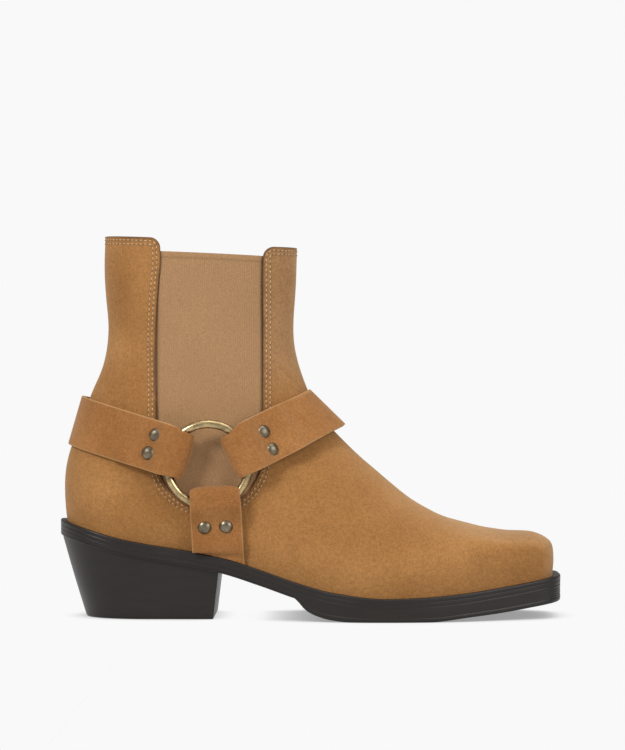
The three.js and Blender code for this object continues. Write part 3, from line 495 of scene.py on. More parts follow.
def smooth(made: bpy.types.Object, degrees: float = 40.0) -> None:
    """Shade an object smooth, with its steep edges sharp."""
    made.data.shade_smooth()
    made.data.set_sharp_from_angle(angle=math.radians(degrees))


def grid_faces(rows: int, columns: int, start: int = 0, closed: bool = False) -> list[tuple[int, ...]]:
    """Quads of a grid of points.

    Args:
        rows: Count of rows.
        columns: Count of points in a row.
        start: Number of the first point.
        closed: Whether each row closes on itself.

    Returns:
        Corner numbers of the faces.
    """
    faces = []
    for i in range(rows - 1):
        for j in range(columns if closed else columns - 1):
            n = (j + 1) % columns
            a, b = start + i * columns, start + (i + 1) * columns
            faces.append((a + j, b + j, b + n, a + n))
    return faces


def tube(name: str, rows: Array, closed_way: bool = False) -> bpy.types.Object:
    """A closed skin through rings of points, with flat ends or joined end to end.

    Args:
        name: The object's name.
        rows: Rings of points, as rows by columns by three.
        closed_way: Whether the last ring joins the first.

    Returns:
        The new object.
    """
    count, columns = rows.shape[:2]
    if closed_way:
        rows = np.concatenate([rows, rows[:1]])
        count += 1
    faces = grid_faces(count, columns, closed=True)
    if not closed_way:
        faces.append(tuple(range(columns)))
        faces.append(tuple(range(count * columns - 1, (count - 1) * columns - 1, -1)))
    made = new_object(name, rows, faces)
    clean(made)
    smooth(made)
    return made


def side_prism(name: str, points: Array, low: float, high: float) -> bpy.types.Object:
    """A prism across the boot from an outline in the side view.

    Args:
        name: The object's name.
        points: The outline.
        low: Its near end in Y.
        high: Its far end in Y.

    Returns:
        The new object.
    """
    n = len(points)
    near = np.stack([points[:, 0], np.full(n, low), points[:, 1]], 1)
    far = np.stack([points[:, 0], np.full(n, high), points[:, 1]], 1)
    faces = [tuple(range(n)), tuple(range(2 * n - 1, n - 1, -1))]
    faces += [(i, n + i, n + (i + 1) % n, (i + 1) % n) for i in range(n)]
    made = new_object(name, np.concatenate([near, far]), faces)
    bm = bmesh.new()
    bm.from_mesh(made.data)
    bmesh.ops.recalc_face_normals(bm, faces=bm.faces)
    bmesh.ops.triangulate(bm, faces=bm.faces)
    bm.to_mesh(made.data)
    bm.free()
    return made


def cut(made: bpy.types.Object, tools: Sequence[bpy.types.Object]) -> None:
    """Take tools away from an object, and delete them."""
    for tool in tools:
        modifier = made.modifiers.new("cut", "BOOLEAN")
        modifier.operation = "DIFFERENCE"
        modifier.solver = "MANIFOLD"
        modifier.object = tool
    graph = bpy.context.evaluated_depsgraph_get()
    mesh = bpy.data.meshes.new_from_object(made.evaluated_get(graph))
    made.modifiers.clear()
    old = made.data
    mesh.materials.clear()
    made.data = mesh
    mesh.name = made.name
    bpy.data.meshes.remove(old)
    for tool in tools:
        bpy.data.objects.remove(tool)


def solid_of(name: str, low: Array, high: Array) -> bpy.types.Object:
    """A closed solid over sections given as grids of their two sides.

    Args:
        name: The object's name.
        low: Points of the outer side, section by section.
        high: Points of the inner side.

    Returns:
        The new object.
    """
    rows, columns = low.shape[:2]
    n = rows * columns
    faces = [tuple(reversed(f)) for f in grid_faces(rows, columns)] + grid_faces(rows, columns, n)
    last = columns - 1
    for i in range(rows - 1):
        a, b = i * columns + last, (i + 1) * columns + last
        faces.append((a, b, n + b, n + a))
    for i in (0, rows - 1):
        for j in range(last):
            a = i * columns + j
            faces.append((a, a + 1, n + a + 1, n + a))
    made = new_object(name, np.concatenate([low.reshape(-1, 3), high.reshape(-1, 3)]), faces)
    clean(made)
    return made


def arc(x: float, z: float, radius: float, start: float, end: float, steps: int) -> Array:
    """Points of a round stretch between two bearings in degrees."""
    angle = np.radians(np.linspace(start, end, steps + 1))
    return np.stack([x + radius * np.cos(angle), z + radius * np.sin(angle)], 1)


def coordinates(made: bpy.types.Object) -> Array:
    """An object's corners on the boot's own axes, in millimetres."""
    flat = np.empty(len(made.data.vertices) * 3, np.float32)
    made.data.vertices.foreach_get("co", flat)
    points = flat.reshape(-1, 3).astype(float) / MM
    points[:, 0] -= FRAME_SHIFT
    return points


def set_coordinates(made: bpy.types.Object, points: Array) -> None:
    """Move an object's corners to points on the boot's own axes."""
    made.data.vertices.foreach_set("co", to_frame(points).astype(np.float32).ravel())
    made.data.update()


def normals(made: bpy.types.Object) -> Array:
    """Directions of an object's corners."""
    flat = np.empty(len(made.data.vertices) * 3, np.float32)
    made.data.vertex_normals.foreach_get("vector", flat)
    return flat.reshape(-1, 3).astype(float)


def set_values(made: bpy.types.Object, name: str, values: Array) -> None:
    """Keep one number for each corner of an object."""
    attribute = made.data.attributes.new(name, "FLOAT", "POINT")
    attribute.data.foreach_set("value", np.asarray(values, np.float32))


def tree_of(made: bpy.types.Object) -> BVHTree:
    """A search tree over an object's faces."""
    mesh = made.data
    return BVHTree.FromPolygons([v.co for v in mesh.vertices], [p.vertices for p in mesh.polygons])


def wave(points: Array, size: float, seed: float) -> Array:
    """Soft waves over points, from about -1 to 1, as a sum of slanted sines.

    Args:
        points: Points in millimetres.
        size: Length of the waves.
        seed: Number that picks one set of waves.

    Returns:
        One number for each point.
    """
    total = np.zeros(len(points))
    for k in range(1, 7):
        way = np.array([math.sin(1.7 * k + seed), math.cos(2.3 * k + 1.3 * seed), math.sin(3.1 * k + 0.7 * seed)])
        way /= np.linalg.norm(way)
        bend = 1.5 * np.sin(points @ np.roll(way, 1) * (4.1 / size) + k)
        total += np.sin(points @ way * (2 * math.pi / size) * (0.7 + 0.13 * k) + bend + 2.1 * k * seed)
    return total / 4.0


# ---- Finishes ---------------------------------------------------------------------------------


class Nodes:
    """Short hand for making and joining shader nodes in one tree."""

    def __init__(self, tree: bpy.types.NodeTree) -> None:
        """Keep the tree."""
        self.tree = tree

    def add(self, kind: str, **settings: object) -> bpy.types.Node:
        """A new node with its own settings."""
        node = self.tree.nodes.new(kind)
        for name, value in settings.items():
            setattr(node, name, value)
        return node

    def feed(self, node: bpy.types.Node, **inputs: object) -> bpy.types.Node:
        """Set or join a node's inputs by name, with underscores for spaces.

        Args:
            node: The node.
            **inputs: A socket to join, or a value to set.

        Returns:
            The same node.
        """
        for name, value in inputs.items():
            socket = node.inputs[name.replace("_", " ")]
            if isinstance(value, bpy.types.NodeSocket):
                self.tree.links.new(value, socket)
            else:
                socket.default_value = value
        return node

    def math(self, operation: str, a: object, b: object = 0.0, clamp: bool = False) -> bpy.types.NodeSocket:
        """Result of one sum."""
        node = self.add("ShaderNodeMath", operation=operation, use_clamp=clamp)
        for socket, value in zip(node.inputs, (a, b)):
            if isinstance(value, bpy.types.NodeSocket):
                self.tree.links.new(value, socket)
            else:
                socket.default_value = value
        return node.outputs[0]

    def noise(self, vector: object, scale: object, detail: float, rough: float = 0.5) -> bpy.types.NodeSocket:
        """Height of a noise texture."""
        node = self.add("ShaderNodeTexNoise")
        self.feed(node, Vector=vector, Scale=scale, Detail=detail, Roughness=rough)
        return node.outputs["Fac"]

    def span(self, value: object, low: object, high: object, to: tuple[float, float] = (0.0, 1.0)) -> bpy.types.NodeSocket:
        """A value taken smoothly from one range to another."""
        node = self.add("ShaderNodeMapRange", interpolation_type="SMOOTHSTEP")
        self.feed(node, Value=value, From_Min=low, From_Max=high, To_Min=to[0], To_Max=to[1])
        return node.outputs[0]

    def mix(self, share: object, a: object, b: object, blend: str = "MIX") -> bpy.types.NodeSocket:
        """Blend of two colours."""
        node = self.add("ShaderNodeMix", data_type="RGBA", blend_type=blend)
        for socket, value in ((node.inputs[0], share), (node.inputs[6], a), (node.inputs[7], b)):
            if isinstance(value, bpy.types.NodeSocket):
                self.tree.links.new(value, socket)
            else:
                socket.default_value = value
        return node.outputs[2]

    def attribute(self, name: str) -> bpy.types.NodeSocket:
        """A mesh's own number."""
        return self.add("ShaderNodeAttribute", attribute_name=name).outputs["Fac"]


def new_group(name: str, inputs: Sequence[tuple[str, str, object]], outputs: Sequence[tuple[str, str]]) -> tuple[Nodes, bpy.types.Node, bpy.types.Node]:
    """An empty node group with named sockets.

    Args:
        name: The group's name.
        inputs: Name, kind and value of each input.
        outputs: Name and kind of each output.

    Returns:
        The group's nodes, its input node and its output node.
    """
    tree = bpy.data.node_groups.new(name, "ShaderNodeTree")
    for label, kind, value in inputs:
        socket = tree.interface.new_socket(name=label, in_out="INPUT", socket_type=f"NodeSocket{kind}")
        if value is not None:
            socket.default_value = value
    for label, kind in outputs:
        tree.interface.new_socket(name=label, in_out="OUTPUT", socket_type=f"NodeSocket{kind}")
    n = Nodes(tree)
    return n, n.add("NodeGroupInput"), n.add("NodeGroupOutput")


def make_mottle_group() -> bpy.types.NodeTree:
    """Group for soft patches of two sizes."""
    n, given, out = new_group("soft_patches", [("Vector", "Vector", None), ("Scale", "Float", 40.0), ("Contrast", "Float", 0.5)], [("Mask", "Float")])
    broad = n.noise(given.outputs["Vector"], given.outputs["Scale"], 2.0, 0.5)
    small = n.noise(given.outputs["Vector"], n.math("MULTIPLY", given.outputs["Scale"], 3.1), 3.0, 0.5)
    both = n.math("ADD", n.math("MULTIPLY", broad, 0.78), n.math("MULTIPLY", small, 0.22))
    spread = n.math("MULTIPLY", n.math("SUBTRACT", both, 0.5), given.outputs["Contrast"])
    n.feed(out, Mask=n.math("ADD", n.math("MULTIPLY", spread, 2.2), 0.5, clamp=True))
    return n.tree


def make_nap_group() -> bpy.types.NodeTree:
    """Group for the short fibres of suede."""
    n, given, out = new_group("short_nap", [("Vector", "Vector", None), ("Scale", "Float", 900.0)], [("Height", "Float"), ("Mask", "Float")])
    vector, scale = given.outputs["Vector"], given.outputs["Scale"]
    fibre = n.noise(vector, scale, 3.0, 0.65)
    tuft = n.noise(vector, n.math("MULTIPLY", scale, 0.32), 2.0, 0.5)
    pits = n.add("ShaderNodeTexVoronoi")
    n.feed(pits, Vector=vector, Scale=n.math("MULTIPLY", scale, 0.6))
    height = n.math("ADD", n.math("MULTIPLY", fibre, 0.75), n.math("MULTIPLY", tuft, 0.3))
    height = n.math("ADD", height, n.math("MULTIPLY", pits.outputs["Distance"], 0.25))
    n.feed(out, Height=height, Mask=n.span(n.math("ADD", n.math("MULTIPLY", fibre, 0.72), n.math("MULTIPLY", tuft, 0.28)), 0.38, 0.62))
    return n.tree


def make_web_group() -> bpy.types.NodeTree:
    """Group for the ribs of elastic webbing, with fine specks."""
    n, given, out = new_group("elastic_web", [("Vector", "Vector", None), ("Ribs", "Float", 900.0)], [("Height", "Float"), ("Mask", "Float")])
    split = n.add("ShaderNodeSeparateXYZ")
    n.feed(split, Vector=given.outputs["Vector"])
    wobble = n.math("MULTIPLY", n.noise(given.outputs["Vector"], 350.0, 2.0), 1.6)
    across = n.math("SINE", n.math("ADD", n.math("MULTIPLY", split.outputs[0], n.math("MULTIPLY", given.outputs["Ribs"], 6.2832)), wobble))
    along = n.math("SINE", n.math("ADD", n.math("MULTIPLY", split.outputs[2], n.math("MULTIPLY", given.outputs["Ribs"], 5.2)), wobble))
    speck = n.noise(given.outputs["Vector"], 1500.0, 2.0, 0.6)
    height = n.math("ADD", n.math("MULTIPLY", across, 0.045), n.math("MULTIPLY", along, 0.0))
    height = n.math("ADD", height, speck)
    n.feed(out, Height=height, Mask=n.span(height, 0.28, 0.72))
    return n.tree


class Groups:
    """The shader node groups that several finishes share."""

    def __init__(self) -> None:
        """Build each group once."""
        self.patches = make_mottle_group()
        self.nap = make_nap_group()
        self.web = make_web_group()


def place_group(n: Nodes, group: bpy.types.NodeTree, **inputs: object) -> bpy.types.Node:
    """Put a group in a material with its own values."""
    node = n.add("ShaderNodeGroup")
    node.node_tree = group
    return n.feed(node, **inputs)


Colour = tuple[float, float, float, float]


def shade(colour: Colour, factor: float) -> Colour:
    """A colour made lighter or darker."""
    return (colour[0] * factor, colour[1] * factor, colour[2] * factor, 1.0)


def new_material(name: str) -> tuple[bpy.types.Material, Nodes, bpy.types.Node, bpy.types.NodeSocket]:
    """A material with its shader, and the place on the object."""
    material = bpy.data.materials.new(name)
    material.use_nodes = True
    n = Nodes(material.node_tree)
    shader = material.node_tree.nodes["Principled BSDF"]
    place = n.add("ShaderNodeTexCoord").outputs["Object"]
    return material, n, shader, place


def add_bump(n: Nodes, shader: bpy.types.Node, height: bpy.types.NodeSocket, strength: float, distance: float) -> None:
    """Let a height shape the shader's normal."""
    bump = n.add("ShaderNodeBump")
    n.feed(bump, Height=height, Strength=strength, Distance=distance)
    n.feed(shader, Normal=bump.outputs["Normal"])


@dataclass(frozen=True)
class Suede:
    """Suede with patches and a nap; its masks add painted highlights on the forefoot's top and along the straps' long
    edges.
    """

    name: str
    colour: Colour
    dark: Colour = (0.87, 0.83, 0.77, 1.0)
    light: Colour = (1.12, 1.15, 1.22, 1.0)
    patch_scale: float = 26.0
    nap_scale: float = 1650.0
    bump: float = 0.35
    # Colour of the painted highlight along the straps' long edges.
    edge: Colour = (0.46, 0.27, 0.12, 1.0)
    pale_tint: Colour = (1.05, 1.2, 1.68, 1.0)
    # Ends of the tone mask: the dark end for darker patches, the light end for lighter patches and the painted
    # highlight on the forefoot's top.
    dark_tone: Colour = (0.74, 0.66, 0.56, 1.0)
    light_tone_and_highlight: Colour = (1.26, 1.34, 1.44, 1.0)

    def build(self, groups: Groups) -> bpy.types.Material:
        """The material, with masks read from the piece's own numbers.

        Args:
            groups: The shared node groups.

        Returns:
            The new material.
        """
        material, n, shader, place = new_material(self.name)
        patches = place_group(n, groups.patches, Vector=place, Scale=self.patch_scale, Contrast=1.0)
        nap = place_group(n, groups.nap, Vector=place, Scale=self.nap_scale)
        tone = n.mix(patches.outputs["Mask"], self.dark, self.light)
        tone = n.mix(1.0, self.colour, tone, "MULTIPLY")
        fibre = n.mix(nap.outputs["Mask"], (0.81, 0.79, 0.77, 1), (1.17, 1.17, 1.17, 1))
        colour = n.mix(1.0, tone, fibre, "MULTIPLY")
        # Tone mask: patches at given places, one tone per strap, and a painted highlight on the top of the forefoot and
        # toe.
        tone_and_top_highlight = n.mix(n.attribute("tone_and_top_highlight"), self.dark_tone, self.light_tone_and_highlight)
        colour = n.mix(1.0, colour, tone_and_top_highlight, "MULTIPLY")
        # Pale mask: a paler, greyer front panel, and a painted highlight on the forefoot's top ridge.
        colour = n.mix(n.attribute("pale"), colour, n.mix(1.0, colour, self.pale_tint, "MULTIPLY"))
        # Edge mask: the painted highlight along the straps' long edges.
        colour = n.mix(n.attribute("edge"), colour, self.edge)
        colour = n.mix(n.attribute("line"), colour, shade(self.colour, 0.32))
        n.feed(shader, Base_Color=colour, Roughness=0.93, Specular_IOR_Level=0.12)
        n.feed(shader, Sheen_Weight=0.25, Sheen_Roughness=0.5, Sheen_Tint=(1.0, 0.78, 0.52, 1.0))
        add_bump(n, shader, nap.outputs["Height"], self.bump, 0.0005)
        return material


@dataclass(frozen=True)
class Webbing:
    """Fine elastic webbing."""

    name: str
    colour: Colour
    ribs: float = 820.0

    def build(self, groups: Groups) -> bpy.types.Material:
        """The material.

        Args:
            groups: The shared node groups.

        Returns:
            The new material.
        """
        material, n, shader, place = new_material(self.name)
        web = place_group(n, groups.web, Vector=place, Ribs=self.ribs)
        patches = place_group(n, groups.patches, Vector=place, Scale=22.0, Contrast=0.6)
        tone = n.mix(patches.outputs["Mask"], shade(self.colour, 0.93), shade(self.colour, 1.06))
        thread = n.mix(web.outputs["Mask"], (0.84, 0.83, 0.82, 1), (1.12, 1.12, 1.12, 1))
        colour = n.mix(1.0, tone, thread, "MULTIPLY")
        # Line mask: painted shade in the groove under the band, and a darker top edge.
        colour = n.mix(n.attribute("line"), colour, shade(self.colour, 0.45))
        n.feed(shader, Base_Color=colour, Roughness=0.85, Specular_IOR_Level=0.2)
        n.feed(shader, Sheen_Weight=0.2, Sheen_Roughness=0.5)
        add_bump(n, shader, web.outputs["Height"], 0.4, 0.0003)
        return material


@dataclass(frozen=True)
class SoleFinish:
    """Black polished edge of a stacked sole, faintly streaked along its layers."""

    name: str
    colour: Colour = (0.0095, 0.0066, 0.0048, 1.0)
    roughness: float = 0.38
    streak: float = 260.0

    def build(self, groups: Groups) -> bpy.types.Material:
        """The material.

        Args:
            groups: The shared node groups.

        Returns:
            The new material.
        """
        material, n, shader, place = new_material(self.name)
        stretch = n.add("ShaderNodeMapping")
        n.feed(stretch, Vector=place, Scale=(0.18, 0.18, 1.0))
        layers = n.noise(stretch.outputs["Vector"], self.streak, 4.0, 0.6)
        fine = n.noise(place, 1100.0, 3.0, 0.6)
        patches = place_group(n, groups.patches, Vector=place, Scale=30.0, Contrast=0.8)
        colour = n.mix(n.span(layers, 0.35, 0.7), shade(self.colour, 0.9), shade(self.colour, 1.15))
        rough = n.math("ADD", n.math("MULTIPLY", patches.outputs["Mask"], 0.14), self.roughness - 0.07)
        rough = n.math("ADD", rough, n.math("MULTIPLY", fine, 0.08))
        n.feed(shader, Base_Color=colour, Roughness=rough, Specular_IOR_Level=0.36)
        height = n.math("ADD", n.math("MULTIPLY", layers, 0.5), n.math("MULTIPLY", fine, 0.3))
        add_bump(n, shader, height, 0.12, 0.0004)
        return material


@dataclass(frozen=True)
class AntiqueBrass:
    """Brass gone dark, with brighter patches at random."""

    name: str
    bright: Colour = (0.62, 0.47, 0.24, 1.0)
    dark: Colour = (0.20, 0.145, 0.075, 1.0)
    roughness: float = 0.26

    def build(self, groups: Groups) -> bpy.types.Material:
        """The material.

        Args:
            groups: The shared node groups.

        Returns:
            The new material.
        """
        material, n, shader, place = new_material(self.name)
        patches = place_group(n, groups.patches, Vector=place, Scale=260.0, Contrast=1.2)
        scratch = n.noise(place, 2200.0, 3.0, 0.7)
        colour = n.mix(patches.outputs["Mask"], self.dark, self.bright)
        rough = n.math("ADD", n.math("MULTIPLY", patches.outputs["Mask"], -0.1), self.roughness + 0.08)
        n.feed(shader, Base_Color=colour, Roughness=rough, Metallic=1.0)
        height = n.math("ADD", n.math("MULTIPLY", scratch, 0.5), patches.outputs["Mask"])
        add_bump(n, shader, height, 0.14, 0.0002)
        return material


@dataclass(frozen=True)
class PlainLeather:
    """Smooth lining leather with a fine grain."""

    name: str
    colour: Colour
    roughness: float = 0.7

    def build(self, groups: Groups) -> bpy.types.Material:
        """The material.

        Args:
            groups: The shared node groups.

        Returns:
            The new material.
        """
        material, n, shader, place = new_material(self.name)
        patches = place_group(n, groups.patches, Vector=place, Scale=28.0, Contrast=0.7)
        cells = n.add("ShaderNodeTexVoronoi")
        n.feed(cells, Vector=place, Scale=900.0)
        colour = n.mix(patches.outputs["Mask"], shade(self.colour, 0.86), shade(self.colour, 1.1))
        n.feed(shader, Base_Color=colour, Roughness=self.roughness, Specular_IOR_Level=0.35)
        add_bump(n, shader, cells.outputs["Distance"], 0.25, 0.0003)
        return material


@dataclass(frozen=True)
class Thread:
    """Waxed sewing thread."""

    name: str
    colour: Colour

    def build(self, groups: Groups) -> bpy.types.Material:
        """The material.

        Args:
            groups: The shared node groups.

        Returns:
            The new material.
        """
        material, n, shader, place = new_material(self.name)
        patches = place_group(n, groups.patches, Vector=place, Scale=420.0, Contrast=1.2)
        colour = n.mix(patches.outputs["Mask"], shade(self.colour, 0.75), shade(self.colour, 1.2))
        n.feed(shader, Base_Color=colour, Roughness=0.7)
        add_bump(n, shader, n.noise(place, 3000.0, 2.0), 0.3, 0.0002)
        return material


class Finish(Enum):
    """Names of the boot's finishes."""

    SUEDE = "suede"
    STRAP = "strap_suede"
    ELASTIC = "elastic"
    SOLE = "sole"
    LINING = "lining"
    BRASS = "brass"
    THREAD = "thread"
    # Painted shade in the needle holes.
    HOLE_SHADE = "needle_hole"
    CUT = "cut_edge"
    RIVET = "rivet_brass"


class Wardrobe:
    """Every finish of the boot as a material."""

    def __init__(self) -> None:
        """Build the groups and the materials."""
        groups = Groups()
        made = [
            (Finish.SUEDE, Suede("golden_suede", (0.283, 0.133, 0.0415, 1.0))),
            (Finish.STRAP, Suede("strap_suede", (0.262, 0.113, 0.0345, 1.0), patch_scale=40.0)),
            (Finish.ELASTIC, Webbing("elastic_webbing", (0.306, 0.172, 0.079, 1.0))),
            (Finish.SOLE, SoleFinish("black_sole")),
            (Finish.LINING, PlainLeather("lining_leather", (0.50, 0.34, 0.19, 1.0))),
            (Finish.BRASS, AntiqueBrass("antique_brass")),
            (Finish.RIVET, AntiqueBrass("rivet_brass", (0.25, 0.206, 0.142, 1.0), (0.075, 0.06, 0.042, 1.0), 0.34)),
            (Finish.THREAD, Thread("pale_thread", (0.43, 0.265, 0.12, 1.0))),
            # Dark colour of beads that stand for the shade in the needle holes: painted shade.
            (Finish.HOLE_SHADE, Thread("needle_hole", (0.185, 0.085, 0.034, 1.0))),
            (Finish.CUT, Thread("cut_edge", (0.11, 0.048, 0.02, 1.0))),
        ]
        self.materials = {finish: maker.build(groups) for finish, maker in made}

    def dress(self, made: bpy.types.Object, *finishes: Finish) -> None:
        """Give an object its materials in order."""
        for finish in finishes:
            made.data.materials.append(self.materials[finish])


def place_piece(made: bpy.types.Object, nodes: Sequence[str] = ()) -> None:
    """Let a piece ride on the boot and stand for solids, which it hides.

    Args:
        made: The piece.
        nodes: Solids that it stands for.
    """
    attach(made, "root")
    if nodes:
        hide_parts(*nodes)
    log.info("%s: %d faces", made.name, len(made.data.polygons))


# ---- Upper ------------------------------------------------------------------------------------


@dataclass
class Stitching:
    """A row of stitches along a line on the suede."""

    pitch: float = 2.8
    length: float = 1.9
    radius: float = 0.4
    sink: float = 0.02

    def build(self, name: str, path: Array, tree: BVHTree, hole: bool) -> tuple[Array, list[tuple[int, ...]]]:
        """Corners and faces of small beads along a path.

        Args:
            name: What is made, for the log.
            path: Points on the surface.
            tree: Search tree of the surface.
            hole: Whether the beads are dark beads of painted shade in the needle holes between the stitches.

        Returns:
            Points and faces.
        """
        steps = np.sqrt((np.diff(path, axis=0) ** 2).sum(1)).sum()
        count = max(2, round(steps / self.pitch))
        even = resample(path, 2 * count + 1)
        picks = range(0, 2 * count, 2) if hole else range(1, 2 * count, 2)
        rings, sides = 5, 6
        points: list[Array] = []
        faces: list[tuple[int, ...]] = []
        long = 0.42 * self.length if hole else self.length / 2
        wide = 1.15 * self.radius if hole else self.radius
        for i in picks:
            middle = even[i]
            way = even[min(i + 1, 2 * count)] - even[max(i - 1, 0)]
            way /= np.linalg.norm(way)
            spot, up, _, _ = tree.find_nearest(Vector(to_frame(middle)))
            if spot is None:
                continue
            seat = np.array(spot) / MM
            seat[0] -= FRAME_SHIFT
            normal = np.array(up)
            across = np.cross(normal, way)
            across /= np.linalg.norm(across)
            seat = seat + normal * (-0.12 if hole else self.sink)
            start = sum(len(p) for p in points)
            bead = [seat - way * long]
            for k in range(1, rings):
                a = math.pi * k / rings
                centre = seat - way * long * math.cos(a)
                for m in range(sides):
                    b = 2 * math.pi * m / sides
                    bead.append(centre + wide * math.sin(a) ** 0.6 * (across * math.cos(b) + normal * math.sin(b)))
            bead.append(seat + way * long)
            points.append(np.array(bead))
            last = start + 1 + (rings - 2) * sides
            for m in range(sides):
                n = (m + 1) % sides
                faces.append((start, start + 1 + n, start + 1 + m))
                for k in range(rings - 2):
                    a0 = start + 1 + k * sides
                    faces.append((a0 + m, a0 + n, a0 + sides + n, a0 + sides + m))
                faces.append((last + m, last + n, last + sides))
        log.debug("%s: %d beads", name, len(points))
        return np.concatenate(points), faces


@dataclass
class Upper:
    """The hollow suede upper with its opening, edges, stitches and lining."""

    last: Last
    density: int = 5
    columns: int = 56
    edge_rows: tuple[float, float] = (1.7, 3.8)
    tab_slope: float = 1.4
    front_drop: float = 6.4
    medial_step: float = 5.0
    bead: float = 0.42
    patches: tuple[tuple[float, float, float, float, float], ...] = (
        (36.0, 180.0, 7.0, 20.0, -0.22), (33.0, 150.0, 12.0, 8.0, 0.16), (28.0, 203.0, 10.0, 6.0, 0.1),
        (34.0, 128.0, 12.0, 10.0, -0.12), (122.0, 196.0, 6.0, 14.0, -0.08), (16.0, 92.0, 12.0, 22.0, 0.08),
        (52.0, 62.0, 16.0, 8.0, -0.12), (30.0, 74.0, 10.0, 8.0, 0.1), (150.0, 92.0, 14.0, 14.0, 0.1),
        (165.0, 62.0, 22.0, 14.0, -0.12), (196.0, 44.0, 22.0, 9.0, -0.12), (140.0, 36.0, 20.0, 10.0, 0.1),
        (120.0, 66.0, 8.0, 20.0, -0.1), (214.0, 36.0, 12.0, 9.0, 0.1), (246.0, 30.0, 26.0, 7.0, -0.03), (34.0, 184.0, 8.0, 20.0, -0.14), (33.0, 151.0, 8.0, 8.0, 0.12),
        (36.0, 128.0, 12.0, 11.0, -0.1),
        (176.0, 26.0, 30.0, 6.0, 0.06), (232.0, 50.0, 14.0, 6.0, 0.12),
    )
    stitching: Stitching = field(default_factory=Stitching)

    def rear_edge(self, z: Array | float, side: int) -> Array:
        """Place in X of the back panel's edge at the gore."""
        s = self.last.s
        drift = Table(["x"], [
            (92.0, 0.0), (118.0, -0.5), (150.0, -1.0), (172.0, -0.2), (186.0, 0.9), (198.0, 1.9), (212.0, 1.6),
        ])
        plain = s.gore_middle - s.gore_width / 2 + drift.value("x", z)
        return plain if side < 0 else plain - self.medial_step * smoothstep(z, 150.0, 195.0)

    def side_path(self, offset: float, side: int) -> Array:
        """The opening's edge in the side view from the back line to the front line.

        Args:
            offset: How far the path lies from the edge, in the suede.
            side: Side of the boot.

        Returns:
            Points in the side view.
        """
        s = self.last.s
        front = s.gore_middle + s.gore_width / 2 + offset
        top = s.collar_height - offset
        corner_top = top - self.tab_slope
        front_top = s.collar_height - self.front_drop - offset
        corner = max(s.tab_corner - offset, 1.5)
        centre = s.gore_bottom + s.gore_width / 2
        back_x = self.edge_place(self.last.back.points, top)
        front_x = self.edge_place(self.last.top.points, front_top)
        heights = np.linspace(corner_top - corner, centre + 4, 40)
        rear_x = self.rear_edge(heights, side) - offset
        rear_corner = arc(float(rear_x[0]) - corner, corner_top - corner, corner, 90, 0, 10)
        turn = 1 - np.cos(np.linspace(0, math.pi / 2, 24, endpoint=False))
        rear_line = lerp(back_x, rear_corner[0, 0], turn)
        front_line = lerp(front_x, front + corner, turn)[::-1]
        rear_top = top - self.tab_slope * (rear_line - back_x) / (rear_corner[0, 0] - back_x)
        return np.concatenate([
            np.stack([rear_line, rear_top], 1), rear_corner, np.stack([rear_x, heights], 1)[1:],
            arc(s.gore_middle, centre, s.gore_width / 2 + offset, 180, 360, 48),
            arc(front + corner, front_top - corner, corner, 180, 90, 8),
            np.stack([front_line, np.full(24, front_top)], 1),
        ])

    def opening(self, side: int) -> Array:
        """Outline of the cut that leaves one side's tabs and gore opening."""
        s = self.last.s
        over = s.collar_height + s.collar_length
        edge = self.side_path(0.0, side)
        return np.concatenate([
            [(-s.sole_length, over), (-s.sole_length, edge[0, 1])], edge,
            [(s.sole_length, edge[-1, 1]), (s.sole_length, over)],
        ])

    @staticmethod
    def edge_place(points: Array, height: float) -> float:
        """Where an outline crosses a height in the shaft."""
        order = np.argsort(points[:, 1])
        return float(np.interp(height, points[order, 1], points[order, 0]))

    def edge_path(self, offset: float, inset: float) -> Array:
        """The opening's edge as a closed loop round both sides.

        Args:
            offset: How far the path lies from the edge, in the suede.
            inset: How far it lies inside the outer face.

        Returns:
            Points, evenly spaced.
        """
        outer, inner = (self.on_face(resample(self.side_path(offset, side), 1400), side, inset) for side in (-1, 1))
        inner = inner[::-1]
        loop = np.concatenate([outer, inner, outer[:1]])
        length = np.sqrt((np.diff(loop, axis=0) ** 2).sum(1)).sum()
        return resample(loop, int(length / 0.9))

    def on_face(self, flat: Array, side: int, inset: float) -> Array:
        """Points of the side view laid on a side's face."""
        return np.stack([flat[:, 0], self.last.face(flat[:, 0], flat[:, 1], side, inset), flat[:, 1]], 1)

    def relief(self, points: Array) -> Array:
        """How far the worn suede stands in or out, in millimetres."""
        s = self.last.s
        x, y, z = points.T
        foot = smoothstep(x, 0.4 * s.sole_length, 0.55 * s.sole_length) * (1 - smoothstep(x, 0.85 * s.sole_length, s.sole_length))
        shaft = smoothstep(z, 0.9 * s.instep_height, 1.15 * s.instep_height)
        broad = 0.28 * wave(points, 48.0, 1.0)
        flex = 0.22 * foot * wave(points * np.array([1.6, 1.0, 1.0]), 40.0, 2.0)
        ankle = 0.4 * shaft * wave(points * np.array([1.0, 1.0, 0.6]), 42.0, 3.0)
        low = smoothstep(z - self.last.feather(x), 1.0, 14.0)
        near_top = 1 - smoothstep(z, s.collar_height - 12, s.collar_height)
        return (broad + flex + ankle) * low * lerp(0.4, 1.0, near_top)

